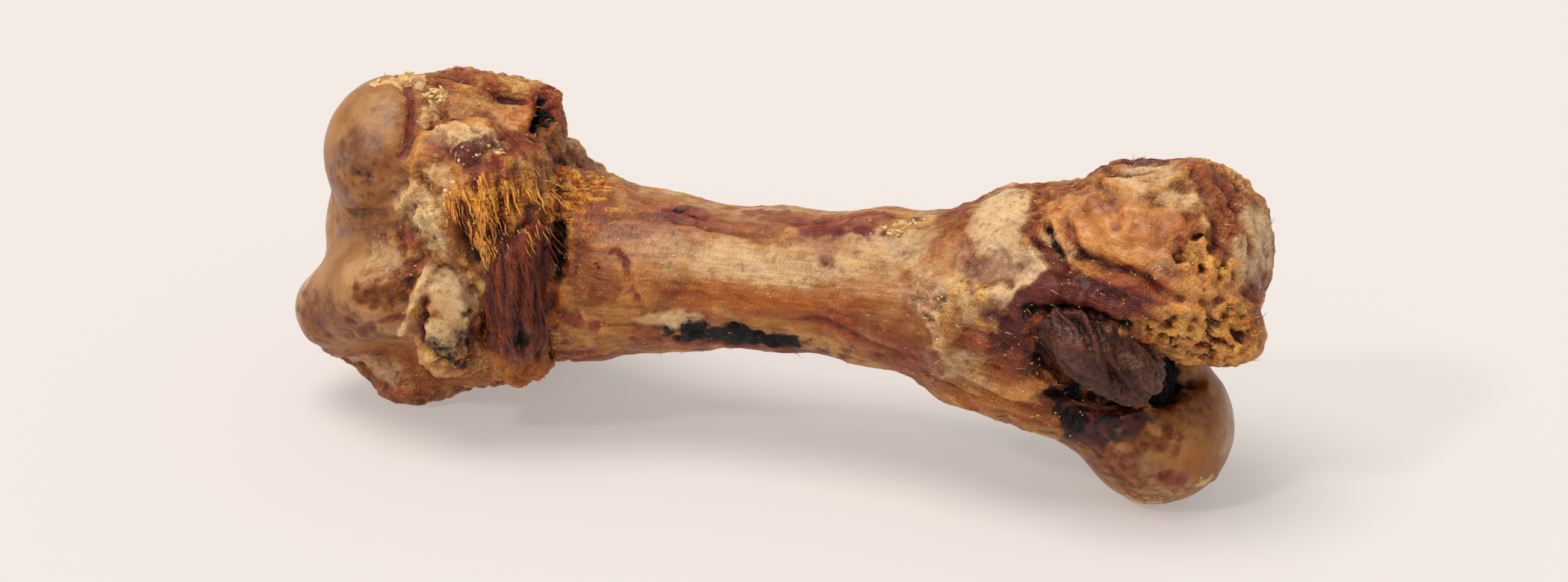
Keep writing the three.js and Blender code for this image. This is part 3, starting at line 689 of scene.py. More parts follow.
def height_over_surroundings(mesh, points, normals, rounds):
    """How far each point stands over (or lies under) the evened-out surface, in millimetres."""
    return np.einsum("ij,ij->i", points - evened(mesh, points, rounds), normals)


def new_object(name, mesh):
    obj = bpy.data.objects.new(name, mesh)
    bpy.context.scene.collection.objects.link(obj)
    return obj


def evaluated_mesh(obj):
    """The object's mesh with its modifiers applied."""
    graph = bpy.context.evaluated_depsgraph_get()
    return bpy.data.meshes.new_from_object(obj.evaluated_get(graph))


def keep_largest_shell(mesh):
    """Drop the crumbs that a remesh sheds where a solid is thin."""
    body = bmesh.new()
    body.from_mesh(mesh)
    unseen = set(body.verts)
    shells = []
    while unseen:
        shell = [unseen.pop()]
        for vertex in shell:
            for edge in vertex.link_edges:
                other = edge.other_vert(vertex)
                if other in unseen:
                    unseen.remove(other)
                    shell.append(other)
        shells.append(shell)
    shells.sort(key=len)
    if len(shells) > 1:
        bmesh.ops.delete(body, geom=[vertex for shell in shells[:-1] for vertex in shell], context="VERTS")
        body.to_mesh(mesh)
    body.free()


def remeshed_copy(node, name, cell):
    """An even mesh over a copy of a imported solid; cell is in metres."""
    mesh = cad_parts[node].data.copy()
    body = bmesh.new()
    body.from_mesh(mesh)
    bmesh.ops.remove_doubles(body, verts=body.verts, dist=MERGED)
    body.to_mesh(mesh)
    body.free()
    mesh.materials.clear()
    for attribute in [a.name for a in mesh.attributes if not a.is_required and not a.is_internal]:
        mesh.attributes.remove(mesh.attributes[attribute])
    rough = new_object(name + "_rough", mesh)
    remesh = rough.modifiers.new("Even", "REMESH")
    remesh.mode = "VOXEL"
    remesh.voxel_size = cell
    smooth = rough.modifiers.new("Soften", "SMOOTH")
    smooth.iterations = 12
    smooth.factor = 0.6
    even = evaluated_mesh(rough)
    bpy.data.objects.remove(rough)
    keep_largest_shell(even)
    even.name = name
    return new_object(name, even)


def finish_piece(obj, material, replaces=()):
    """Smooth shading, the finish, and the piece's place in the frame."""
    obj.data.materials.clear()
    obj.data.materials.append(material)
    obj.data.polygons.foreach_set("use_smooth", [True] * len(obj.data.polygons))
    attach(obj, "root")
    for node in replaces:
        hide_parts(node)
    return obj


# ---- materials --------------------------------------------------------------------------------------------
HAZE = 0.024  # what the gloss adds to every colour
LIFT = 1.06  # what the light takes away from it


def linear(hex_colour):
    """Linear RGBA that shows as a hex colour such as 'c69e6b' under its own gloss."""
    parts = [int(hex_colour[i:i + 2], 16) / 255 for i in (0, 2, 4)]
    parts = [c / 12.92 if c <= 0.04045 else ((c + 0.055) / 1.055) ** 2.4 for c in parts]
    return [max(c - HAZE, 0.08 * c) * LIFT for c in parts] + [1.0]


class Tree:
    """A small helper that adds nodes to a node tree and wires them."""

    def __init__(self, tree):
        self.tree = tree

    def add(self, kind, inputs=None, **settings):
        node = self.tree.nodes.new(kind)
        for key, value in settings.items():
            setattr(node, key, value)
        for key, value in (inputs or {}).items():
            self.put(node.inputs[key], value)
        return node

    def join(self, source, target):
        self.tree.links.new(source, target)

    def put(self, socket, value):
        """Wire a socket to another one, or set it to a plain value."""
        if isinstance(value, bpy.types.NodeSocket):
            self.join(value, socket)
        else:
            socket.default_value = value

    def math(self, operation, a, b=0.0):
        return self.add("ShaderNodeMath", {0: a, 1: b}, operation=operation).outputs[0]

    def attribute(self, name, output="Fac"):
        return self.add("ShaderNodeAttribute", attribute_name=name).outputs[output]

    def weighted(self, *terms):
        """The sum of (value, weight) pairs."""
        products = [self.math("MULTIPLY", value, weight) for value, weight in terms]
        total = products[0]
        for product in products[1:]:
            total = self.math("ADD", total, product)
        return total

    def vector(self, operation, a, b):
        second = "Scale" if operation == "SCALE" else 1
        return self.add("ShaderNodeVectorMath", {0: a, second: b}, operation=operation).outputs["Vector"]

    def stretch(self, value, low, high, to_low=0.0, to_high=1.0):
        """A value whose low to high is carried to another stretch."""
        limits = {"Value": value, "From Min": low, "From Max": high, "To Min": to_low, "To Max": to_high}
        return self.add("ShaderNodeMapRange", limits).outputs[0]

    def mix(self, factor, a, b, mode="MIX"):
        """Two colours mixed, multiplied or overlaid by a factor."""
        node = self.add("ShaderNodeMix", data_type="RGBA", blend_type=mode)
        for key, value in (("Factor_Float", factor), ("A_Color", a), ("B_Color", b)):
            self.put(next(s for s in node.inputs if s.identifier == key), value)
        return next(s for s in node.outputs if s.identifier == "Result_Color")


def new_group(name, inputs, outputs):
    """An empty shader node group with named sockets; inputs and outputs are (name, kind, default)."""
    tree = bpy.data.node_groups.new(name, "ShaderNodeTree")
    for in_out, sockets in (("INPUT", inputs), ("OUTPUT", outputs)):
        for socket_name, kind, default in sockets:
            socket = tree.interface.new_socket(socket_name, in_out=in_out, socket_type=kind)
            if default is not None:
                socket.default_value = default
    build = Tree(tree)
    return build, build.add("NodeGroupInput").outputs, build.add("NodeGroupOutput").inputs


def skin_patterns_group():
    """The patterns that every finish is made of: blotches, flecks, fibres, grit, thin lines and strands."""
    build, given, result = new_group(
        "Skin Patterns",
        [("Size", "NodeSocketFloat", 1.0), ("Fibre Length", "NodeSocketFloat", 0.006)],
        [(name, "NodeSocketFloat", None) for name in ("Broad", "Blotch", "Fleck", "Fibre", "Grit", "Line",
                                                      "Strand")],
    )
    place = build.add("ShaderNodeTexCoord").outputs["Object"]
    along = build.attribute("grain", "Vector")

    def noise(where, size, detail, low=0.32, high=0.68):
        scale = build.math("MULTIPLY", given["Size"], size)
        node = build.add("ShaderNodeTexNoise",
                         {"Vector": where, "Scale": scale, "Detail": detail, "Roughness": 0.6})
        return build.stretch(node.outputs["Fac"], low, high)

    def shifted(share):
        step = build.math("MULTIPLY", given["Fibre Length"], share)
        return build.vector("ADD", place, build.vector("SCALE", along, step))

    build.join(noise(place, 34.0, 3.0), result["Broad"])
    blotch = [noise(shifted(share), 95.0, 4.0) for share in (-0.8, 0.8)]
    build.join(build.math("MULTIPLY", build.math("ADD", *blotch), 0.5), result["Blotch"])
    build.join(noise(place, 290.0, 5.0), result["Fleck"])
    fibre = 0.0
    for share in (-0.5, -0.25, 0.0, 0.25, 0.5):
        fibre = build.math("ADD", fibre, noise(shifted(share), 620.0, 2.0, 0.2, 0.8))
    build.join(build.stretch(fibre, 1.9, 3.1), result["Fibre"])
    build.join(noise(place, 1100.0, 3.0), result["Grit"])
    upright = build.vector("MULTIPLY", place, (1.0, 1.0, 0.09))
    build.join(noise(upright, 330.0, 4.0, 0.36, 0.64), result["Strand"])
    away = build.math("ABSOLUTE", build.math("SUBTRACT", noise(shifted(0.5), 60.0, 4.0), 0.5))
    build.join(build.stretch(away, 0.06, 0.0), result["Line"])
    return build.tree


def ragged_edge_group():
    """Breaks a soft cover up into tongues and islands with torn or soft edges."""
    build, given, result = new_group(
        "Ragged Edge",
        [("Cover", "NodeSocketFloat", 0.5), ("Pattern", "NodeSocketFloat", 0.5),
         ("Rag", "NodeSocketFloat", 0.5),
         ("Softness", "NodeSocketFloat", 0.3)],
        [("Cover", "NodeSocketFloat", None)],
    )
    swing = build.math("MULTIPLY", build.math("SUBTRACT", given["Pattern"], 0.5), given["Rag"])
    torn = build.math("ADD", given["Cover"], swing)
    edge = build.add("ShaderNodeMapRange",
                     {"Value": torn, "From Min": build.math("SUBTRACT", 0.5, given["Softness"]),
                                            "From Max": build.math("ADD", 0.5, given["Softness"])},
                     interpolation_type="SMOOTHSTEP")
    build.join(edge.outputs["Result"], result["Cover"])
    return build.tree


GROUPS = {}


def groups():
    """The shared effects, built once."""
    if not GROUPS:
        GROUPS.update(patterns=skin_patterns_group(), ragged=ragged_edge_group())
    return GROUPS


def new_material(name, roughness, coat=0.0, subsurface=0.0):
    """A material with one Principled shader, and the helper that builds the rest of it."""
    material = bpy.data.materials.new(name)
    material.use_nodes = True
    build = Tree(material.node_tree)
    build.tree.nodes.clear()
    shader = build.add("ShaderNodeBsdfPrincipled")
    shader.inputs["Roughness"].default_value = roughness
    shader.inputs["Specular IOR Level"].default_value = 0.26
    shader.inputs["Coat Weight"].default_value = coat
    shader.inputs["Coat Roughness"].default_value = 0.28
    shader.inputs["Subsurface Weight"].default_value = subsurface
    shader.inputs["Subsurface Radius"].default_value = (0.004, 0.0016, 0.0007)
    shader.inputs["Subsurface Scale"].default_value = 1.0
    out = build.add("ShaderNodeOutputMaterial")
    build.join(shader.outputs["BSDF"], out.inputs["Surface"])
    return material, build, shader


# Each finish: its two colours and the pattern that mixes them; the pattern, amount and softness of its torn
# edge; its roughness.
Look = namedtuple("Look", "first second mixed torn rag soft roughness")
LOOKS = {
    "cartilage": Look("b88858", "8a5a34", "Broad", "Broad", 0.2, 0.45, 0.42),
    "cream": Look("dfc196", "c49a6a", "Blotch", "Blotch", 0.5, 0.48, 0.36),
    # pale: painted rim sheen
    "pale": Look("d2bda6", "b3967e", "Broad", "Broad", 0.3, 0.5, 0.34),
    "orange": Look("bb6c30", "9a4f26", "Blotch", "Blotch", 0.5, 0.5, 0.38),
    "amber": Look("e0a663", "a9582b", "Blotch", "Blotch", 0.6, 0.48, 0.26),
    "gristle": Look("eac896", "b4794a", "Blotch", "Blotch", 0.6, 0.42, 0.28),
    "golden": Look("f0a648", "96481c", "Fibre", "Fleck", 0.6, 0.4, 0.38),
    "mottle": Look("683c22", "925f38", "Fleck", "Fleck", 0.9, 0.38, 0.4),
    "crust": Look("ecca92", "b07a40", "Fleck", "Fleck", 0.8, 0.25, 0.5),
    "spongy": Look("f2b45c", "a04a18", "Fleck", "Fleck", 0.6, 0.40, 0.26),
    "grey_bruise_and_sheen": Look("8a6f5e", "6c4638", "Blotch", "Broad", 0.5, 0.5, 0.36),
    "olive": Look("63341a", "935f35", "Fleck", "Blotch", 0.6, 0.49, 0.38),
    "maroon": Look("67261d", "964e38", "Blotch", "Blotch", 0.9, 0.49, 0.34),
    "meat": Look("4a1e16", "8a4a34", "Strand", "Fleck", 0.4, 0.4, 0.28),
    "purple": Look("441d1d", "6c3a33", "Fleck", "Blotch", 0.5, 0.48, 0.32),
    "wine": Look("200a06", "5e2a18", "Fleck", "Blotch", 0.7, 0.48, 0.28),
    "char_and_shade": Look("0c0605", "2c1710", "Fleck", "Fleck", 0.8, 0.38, 0.5),
}


def skin_patterns(build, size, fibre_length):
    """The outputs of the patterns group, set for one material."""
    return build.add("ShaderNodeGroup", {"Size": size, "Fibre Length": fibre_length},
                     node_tree=groups()["patterns"]).outputs


def worked_over(build, colour, patterns, calm):
    """Thin dark lines and fibres over a colour, with painted highlights on the ridges and painted shade in
    the hollows.
    """
    line = build.math("MULTIPLY", patterns["Line"], build.stretch(patterns["Broad"], 0.45, 0.8, 0.0, 0.8))
    colour = build.mix(build.math("MULTIPLY", line, calm), colour, linear("8a4632"), "MULTIPLY")
    shade = build.weighted((patterns["Fibre"], 0.7), (patterns["Grit"], 0.3))
    shade = build.stretch(shade, 0.2, 0.8, 0.74, 1.22)
    shade = build.math("ADD", 1.0, build.math("MULTIPLY", build.math("SUBTRACT", shade, 1.0), calm))
    tone = build.vector("SCALE", colour, shade)
    # painted highlight: the ridges are lightened towards warm white
    painted_ridge_highlight = build.math("MULTIPLY", build.attribute("painted_ridge_highlight"), 0.55)
    tone = build.mix(painted_ridge_highlight, tone, (1.0, 0.9, 0.7, 1), "SOFT_LIGHT")
    # painted shade: the hollows are darkened towards deep red-brown
    return build.mix(build.attribute("hollow"), tone, (0.19, 0.07, 0.035, 1), "MULTIPLY")


def bump_from(build, shader, height, strength, distance):
    bump = build.add("ShaderNodeBump", {"Height": height, "Strength": strength, "Distance": distance})
    build.join(bump.outputs["Normal"], shader.inputs["Normal"])


def bone_material():
    """Dried skin with every finish laid over it where its cover says."""
    material, build, shader = new_material("RoastedBone", 0.42, coat=0.06, subsurface=0.25)
    patterns = skin_patterns(build, 1.0, 0.006)
    colour = build.mix(patterns["Broad"], linear("c4925a"), linear("96602f"))
    colour = build.mix(build.stretch(patterns["Blotch"], 0.5, 0.95, 0.0, 0.75), colour, linear("dcb075"))
    colour = build.mix(build.stretch(patterns["Blotch"], 0.45, 0.1, 0.0, 0.75), colour, linear("7d3b24"))
    layer = build.attribute("layer")
    colour = build.mix(build.stretch(layer, 0.52, 0.40, 0.0, 0.55), colour, linear("6f3320"))
    colour = build.mix(build.stretch(layer, 0.58, 0.70, 0.0, 0.55), colour, linear("d9ab6a"))
    rosy = build.stretch(build.math("MULTIPLY", patterns["Broad"], patterns["Blotch"]), 0.20, 0.5, 0.0, 0.7)
    colour = build.mix(rosy, colour, linear("a04c3a"))
    fleshy = build.stretch(build.attribute("calm"), 0.0, 1.0, 1.0, 0.1)
    sunk = build.math("MULTIPLY", build.stretch(build.attribute("strand"), 0.5, 0.05, 0.0, 0.75), fleshy)
    colour = build.mix(sunk, colour, linear("6e2f1f"))
    raised = build.math("MULTIPLY", build.stretch(build.attribute("strand"), 0.6, 1.0, 0.0, 0.45), fleshy)
    colour = build.mix(raised, colour, linear("dba968"))
    gloss = 0.42
    for finish, look in LOOKS.items():
        cover = build.add("ShaderNodeGroup",
                          {"Cover": build.attribute(finish), "Pattern": patterns[look.torn],
                                              "Rag": look.rag, "Softness": look.soft},
                          node_tree=groups()["ragged"]).outputs["Cover"]
        own = build.mix(patterns[look.mixed], linear(look.second), linear(look.first))
        colour = build.mix(cover, colour, own)
        gap = build.math("SUBTRACT", look.roughness, gloss)
        gloss = build.math("ADD", gloss, build.math("MULTIPLY", gap, cover))
        if finish == "meat":
            meat = cover
    calm = build.stretch(build.attribute("calm"), 0.0, 1.0, 1.0, 0.25)
    tone = worked_over(build, colour, patterns, calm)
    build.join(tone, shader.inputs["Base Color"])
    build.join(gloss, shader.inputs["Roughness"])
    meat_strand = build.math("MULTIPLY", patterns["Strand"], meat)
    height = build.weighted((patterns["Fibre"], 1.0), (patterns["Fleck"], 0.8), (patterns["Grit"], 0.35),
                            (meat_strand, 2.0))
    build.join(build.stretch(gloss, 0.40, 0.24, 0.02, 0.35), shader.inputs["Coat Weight"])
    calm = build.stretch(build.attribute("calm"), 0.0, 1.0, 1.0, 0.10)
    bump_from(build, shader, build.math("MULTIPLY", height, calm), 0.8, 0.0010)
    return material


def meat_material(name, first, second, roughness, coat=0.12):
    """Dried meat: two tones along its fibres."""
    material, build, shader = new_material(name, roughness, coat=coat)
    patterns = skin_patterns(build, 0.9, 0.012)
    own = build.mix(patterns["Blotch"], linear(second), linear(first))
    build.join(worked_over(build, own, patterns, 1.0), shader.inputs["Base Color"])
    height = build.weighted((patterns["Fibre"], 1.0), (patterns["Fleck"], 0.3))
    bump_from(build, shader, height, 0.7, 0.0010)
    return material


def strand_material(name, first, second, roughness=0.38):
    """Two tones in flecks for thin strands and small crumbs."""
    material, build, shader = new_material(name, roughness, coat=0.05)
    patterns = skin_patterns(build, 1.0, 0.002)
    mixed = build.weighted((patterns["Fleck"], 0.6), (patterns["Grit"], 0.4))
    build.join(build.mix(mixed, linear(second), linear(first)), shader.inputs["Base Color"])
    bump_from(build, shader, patterns["Grit"], 0.3, 0.0003)
    return material


# ---- Geometry Nodes ---------------------------------------------------------------------------------------
def new_scatter_tree(name, inputs):
    """A Geometry Nodes tree with named inputs, and the points that it strews by the attribute share."""
    tree = bpy.data.node_groups.new(name, "GeometryNodeTree")
    tree.interface.new_socket("Geometry", in_out="INPUT", socket_type="NodeSocketGeometry")
    for socket_name, kind in inputs:
        tree.interface.new_socket(socket_name, in_out="INPUT", socket_type=kind)
    tree.interface.new_socket("Geometry", in_out="OUTPUT", socket_type="NodeSocketGeometry")
    build = Tree(tree)
    given = build.add("NodeGroupInput").outputs
    share = named(build, "share", "FLOAT")
    points = build.add("GeometryNodeDistributePointsOnFaces",
                       {"Mesh": given["Geometry"], "Density": build.math("MULTIPLY", given["Density"], share),
                        "Seed": given["Seed"]})
    return build, given, points.outputs


def named(build, name, kind):
    return build.add("GeometryNodeInputNamedAttribute", {"Name": name}, data_type=kind).outputs["Attribute"]


def random_number(build, low, high, seed):
    node = build.add("FunctionNodeRandomValue", {2: low, 3: high, "Seed": seed}, data_type="FLOAT")
    return node.outputs[1]


def random_vector(build, reach, seed):
    node = build.add("FunctionNodeRandomValue", {0: (-reach,) * 3, 1: (reach,) * 3, "Seed": seed},
                     data_type="FLOAT_VECTOR")
    return node.outputs[0]


def wandering(build, scale, amount):
    """An offset that wanders with the place."""
    noise = build.add("ShaderNodeTexNoise", {"Scale": scale, "Detail": 2.0}).outputs["Color"]
    return build.vector("SCALE", build.vector("SUBTRACT", noise, (0.5, 0.5, 0.5)), amount)


def finish_tree(build, geometry):
    real = build.add("GeometryNodeRealizeInstances", {"Geometry": geometry}).outputs[0]
    coated = build.add("GeometryNodeSetMaterial", {"Geometry": real}).outputs[0]
    out = build.add("NodeGroupOutput")
    build.join(coated, out.inputs["Geometry"])
    return build.tree


STRAND_SIDES = 4
STRAND_STEPS = 6


def strands_tree():
    """Thin curling strands that leave the surface along its fibres."""
    if "Torn Strands" in bpy.data.node_groups:
        return bpy.data.node_groups["Torn Strands"]
    build, given, points = new_scatter_tree("Torn Strands", [
        ("Density", "NodeSocketFloat"), ("Length", "NodeSocketFloat"), ("Thickness", "NodeSocketFloat"),
        ("Lift", "NodeSocketFloat"), ("Spread", "NodeSocketFloat"), ("Curl", "NodeSocketFloat"),
        ("Seed", "NodeSocketInt")])
    lifted = build.vector("SCALE", points["Normal"], given["Lift"])
    astray = build.vector("SCALE", random_vector(build, 1.0, 21), given["Spread"])
    towards = build.vector("ADD", build.vector("ADD", named(build, "grain", "FLOAT_VECTOR"), lifted), astray)
    turned = build.add("FunctionNodeAlignRotationToVector", {"Vector": towards}, axis="Z").outputs[0]
    line = build.add("GeometryNodeCurvePrimitiveLine",
                     {"Start": (0, 0, -0.25), "End": (0, 0, 0.75)}).outputs[0]
    line = build.add("GeometryNodeResampleCurve", {"Curve": line, "Count": STRAND_STEPS}).outputs[0]
    size = build.math("MULTIPLY", given["Length"], random_number(build, 0.35, 1.25, 22))
    strands = build.add("GeometryNodeInstanceOnPoints", {"Points": points["Points"], "Instance": line,
                                                         "Rotation": turned, "Scale": size}).outputs[0]
    strands = build.add("GeometryNodeRealizeInstances", {"Geometry": strands}).outputs[0]
    share = build.add("GeometryNodeSplineParameter").outputs["Factor"]
    bend = build.math("MULTIPLY", given["Curl"], build.math("ADD", share, 0.15))
    strands = build.add("GeometryNodeSetPosition",
                        {"Geometry": strands, "Offset": wandering(build, 260.0, bend)})
    taper = build.math("SUBTRACT", 1.05, share)
    thick = build.math("MULTIPLY", given["Thickness"], build.math("POWER", taper, 0.6))
    ring = build.add("GeometryNodeCurvePrimitiveCircle",
                     {"Resolution": STRAND_SIDES, "Radius": 1.0}).outputs[0]
    tubes = build.add("GeometryNodeCurveToMesh",
                      {"Curve": strands.outputs[0], "Profile Curve": ring, "Scale": thick,
                                                  "Fill Caps": True}).outputs[0]
    return finish_tree(build, tubes)


def grains_tree():
    """Small uneven lumps or flakes that lie on the surface."""
    if "Loose Grains" in bpy.data.node_groups:
        return bpy.data.node_groups["Loose Grains"]
    build, given, points = new_scatter_tree("Loose Grains", [
        ("Density", "NodeSocketFloat"), ("Size", "NodeSocketFloat"), ("Flatness", "NodeSocketFloat"),
        ("Unevenness", "NodeSocketFloat"), ("Seed", "NodeSocketInt")])
    towards = build.vector("ADD", points["Normal"], random_vector(build, 0.7, 31))
    turned = build.add("FunctionNodeAlignRotationToVector", {"Vector": towards}, axis="Z").outputs[0]
    lump = build.add("GeometryNodeMeshIcoSphere", {"Radius": 1.0, "Subdivisions": 1}).outputs[0]
    size = build.math("MULTIPLY", given["Size"], random_number(build, 0.4, 1.5, 32))
    long = build.math("MULTIPLY", size, random_number(build, 0.7, 1.9, 33))
    flat = build.math("MULTIPLY", size, given["Flatness"])
    scale = build.add("ShaderNodeCombineXYZ", {"X": long, "Y": size, "Z": flat}).outputs[0]
    grains = build.add("GeometryNodeInstanceOnPoints", {"Points": points["Points"], "Instance": lump,
                                                        "Rotation": turned, "Scale": scale}).outputs[0]
    grains = build.add("GeometryNodeRealizeInstances", {"Geometry": grains}).outputs[0]
    uneven = build.math("MULTIPLY", given["Size"], given["Unevenness"])
    grains = build.add("GeometryNodeSetPosition",
                       {"Geometry": grains, "Offset": wandering(build, 900.0, uneven)})
    return finish_tree(build, grains.outputs[0])


def strew(name, surface, share, tree, material, values):
    """A piece made of what the tree strews over a surface where share says, clear of the ground."""
    piece = new_object(name, surface.copy())
    store(piece.data, "share", share * smoothstep(GROUND_CLEAR, 2 * GROUND_CLEAR, points_of(surface)[:, 2]))
    strewing = piece.modifiers.new("Strew", "NODES")
    strewing.node_group = tree
    for socket in tree.interface.items_tree:
        if socket.in_out == "INPUT" and socket.name in values:
            strewing[socket.identifier] = values[socket.name]
    mesh = evaluated_mesh(piece)
    piece.modifiers.clear()
    piece.data = mesh
    mesh.name = name
    return finish_piece(piece, material)


def values_of(mesh, name):
    values = np.empty(len(mesh.vertices), np.float32)
    mesh.attributes[name].data.foreach_get("value", values)
    return values.astype(float)


def thickly(values, low=0.35, high=0.8):
    """1 where a finish lies thick, 0 where it is thin."""
    return smoothstep(low, high, values)


def near_path(points, paths, reach):
    """1 on the paths, fading to 0 at reach."""
    return np.max([smoothstep(reach, 0, distance_to_path(points, path)[0]) for path in paths], axis=0)


# ---- settings ---------------------------------------------------------------------------------------------
class BoneSettings(bpy.types.PropertyGroup):
    """Sizes of the bone's surface."""

    cell: bpy.props.FloatProperty(name="Cell", description="Edge of a face of the bone's surface",
                                  default=0.00122, min=0.0008, subtype="DISTANCE", unit="LENGTH")
    relief: bpy.props.FloatProperty(name="Relief", description="Strength of lumps, folds and pores",
                                    default=1.0,
                                    min=0.0, max=2.0, subtype="FACTOR")


class MeatSettings(bpy.types.PropertyGroup):
    """Fineness of the dried meat."""

    cell: bpy.props.FloatProperty(name="Cell", description="Edge of a face of the meat's surface",
                                  default=0.0007, min=0.0004, subtype="DISTANCE", unit="LENGTH")


class ScatterSettings(bpy.types.PropertyGroup):
    """How thickly the loose bits are strewn, and how large they are."""

    fibres: bpy.props.FloatProperty(name="Fibres",
                                    description="Golden fibres on a square metre of torn tendon",
                                    default=8e5, min=0.0)
    fibre_length: bpy.props.FloatProperty(name="Fibre Length", description="Length of a golden fibre",
                                          default=0.009,
                                          min=0.001, subtype="DISTANCE", unit="LENGTH")
    crumbs: bpy.props.FloatProperty(name="Crumbs",
                                    description="Crumbs on a square metre where they lie thickest",
                                    default=6e5, min=0.0)
    crumb_size: bpy.props.FloatProperty(name="Crumb Size", description="Radius of a crumb", default=0.00030,
                                        min=0.0001, subtype="DISTANCE", unit="LENGTH")
    flakes: bpy.props.FloatProperty(name="Flakes", description="Flakes on a square metre of crust",
                                    default=5e5,
                                    min=0.0)


class StageSettings(bpy.types.PropertyGroup):
    """Floor and light."""

    floor_colour: bpy.props.FloatVectorProperty(name="Floor", description="Colour of the floor",
                                                subtype="COLOR",
                                                size=3, default=(0.42, 0.388, 0.370), min=0.0, max=1.0)
    floor_glow: bpy.props.FloatProperty(name="Floor Glow",
                                        description="Light that the floor gives, as from a light table",
                                        default=0.82, min=0.0)
    key: bpy.props.FloatProperty(name="Key Light", description="Strength of the light from above",
                                 default=2.2, min=0.0)


# ---- pieces -----------------------------------------------------------------------------------------------
def store_painted_shade_and_highlights(mesh, points, normals, calm=0.0):
    """Mark the hollows and the ridges, small ones and broad ones, where the material paints shade into the
    hollows and highlights onto the ridges.
    """
    small = height_over_surroundings(mesh, points, normals, 10)
    broad = height_over_surroundings(mesh, points, normals, 70)
    level = (0.8 * small + 0.5 * broad) * (1 - 0.8 * calm)
    # the hollow mask carries painted shade, the ridge mask painted highlights
    store(mesh, "hollow", smoothstep(-0.12, -1.5, level))
    store(mesh, "painted_ridge_highlight", smoothstep(0.1, 1.0, level))


def finished_surface(obj, covers, start, along, relief):
    """Raise and sink the surface, and store on it what the skin's material reads."""
    normals = normals_of(obj.data)
    points = start + normals * (relief * coarse_relief(start, covers, along))[:, None]
    set_points(obj.data, points)
    points = points + normals_of(obj.data) * (relief * fine_relief(start, covers, along))[:, None]
    points[:, 2] = np.maximum(points[:, 2], FLOOR_GAP)
    set_points(obj.data, points)
    for finish, cover in covers.items():
        store(obj.data, finish, cover)
    store(obj.data, "grain", along)
    calm = np.maximum(calmness(covers), 0.75 * (1 - wildness(start)))
    store(obj.data, "calm", calm)
    store(obj.data, "layer", 0.55 + (ledges(start, 24, 7) - 0.55) * (1 - calm))
    store(obj.data, "strand", 0.5 + 0.5 * strands(start + 3, 2.4, 3) + 0.25 * strands(start + 9, 5))
    store_painted_shade_and_highlights(obj.data, points, normals_of(obj.data), calmness(covers))


class FEMUR_OT_bone(bpy.types.Operator):
    """Build the bone with its dried skin, gristle and stains"""

    bl_idname = "femur.bone"
    bl_label = "Bone"

    def execute(self, context):
        settings = context.scene.femur_bone
        bone = remeshed_copy("femur", "bone_surface", settings.cell)
        start = points_of(bone.data)
        finished_surface(bone, finish_covers(start), start, grain_of(start), settings.relief)
        finish_piece(bone, bone_material(), ["femur"])
        return {"FINISHED"}


class FEMUR_OT_hollow_meat(bpy.types.Operator):
    """Build the crumpled scrap of dark meat in the hollow beside the ball"""

    bl_idname = "femur.hollow_meat"
    bl_label = "Hollow Meat"

    def execute(self, context):
        scrap = remeshed_copy("hollow_meat", "crumpled_scrap", context.scene.femur_meat.cell)
        start = points_of(scrap.data)
        normals = normals_of(scrap.data)
        middle = start.mean(axis=0)
        along = grain_of(start)
        slant = np.array((0.75, 0.0, -0.66))
        pushed = lumps.push(start - 0.62 * (start @ slant)[:, None] * slant, 12, 5)
        height = 5.5 * (0.5 - lumps.folds(pushed, 7, 1)) + 3.0 * (lumps.folds(pushed + 77, 9, 1) - 0.45)
        grown = middle + (start - middle) * (1.02, 1.05, 1.14) + (0, 0, 4.5)
        points = grown + normals * height[:, None]
        set_points(scrap.data, points)
        height = 1.4 * (0.4 - wrinkles.folds(wrinkles.push(pushed, 6, 2), 3.2, 2))
        points = points + normals_of(scrap.data) * height[:, None]
        set_points(scrap.data, points)
        store(scrap.data, "grain", along)
        store_painted_shade_and_highlights(scrap.data, points, normals_of(scrap.data))
        finish_piece(scrap, meat_material("DarkScrap", "6a463a", "36201b", 0.28),
                     ["hollow_meat"])
        return {"FINISHED"}


class FEMUR_OT_muscle_strap(bpy.types.Operator):
    """Build the fibrous strap of dried muscle"""

    bl_idname = "femur.muscle_strap"
    bl_label = "Muscle Strap"

    def execute(self, context):
        strap = remeshed_copy("muscle_strap", "fibrous_strap", context.scene.femur_meat.cell)
        start = points_of(strap.data)
        along = grain_of(start)
        covers = finish_covers(start)
        tail = smoothstep(44, 34, start[:, 2] + 4 * edges(start, 9, 2))
        covers["meat"] = np.maximum(covers["meat"], 1 - tail)
        for finish in ("cream", "gristle", "golden"):
            covers[finish] *= tail
        covers["orange"] = np.maximum(covers["orange"], 0.6 * tail)
        drawn = start * (1, 1, 0.09)
        height = 2.2 * wrinkles.folds(drawn, 5, 2) + 1.6 * wrinkles(drawn, 2.6, 2) - 0.9 - 1.2 * tail
        start = start + normals_of(strap.data) * height[:, None]
        finished_surface(strap, covers, start, along, 0.3)
        finish_piece(strap, bpy.data.materials["RoastedBone"], ["muscle_strap"])
        return {"FINISHED"}


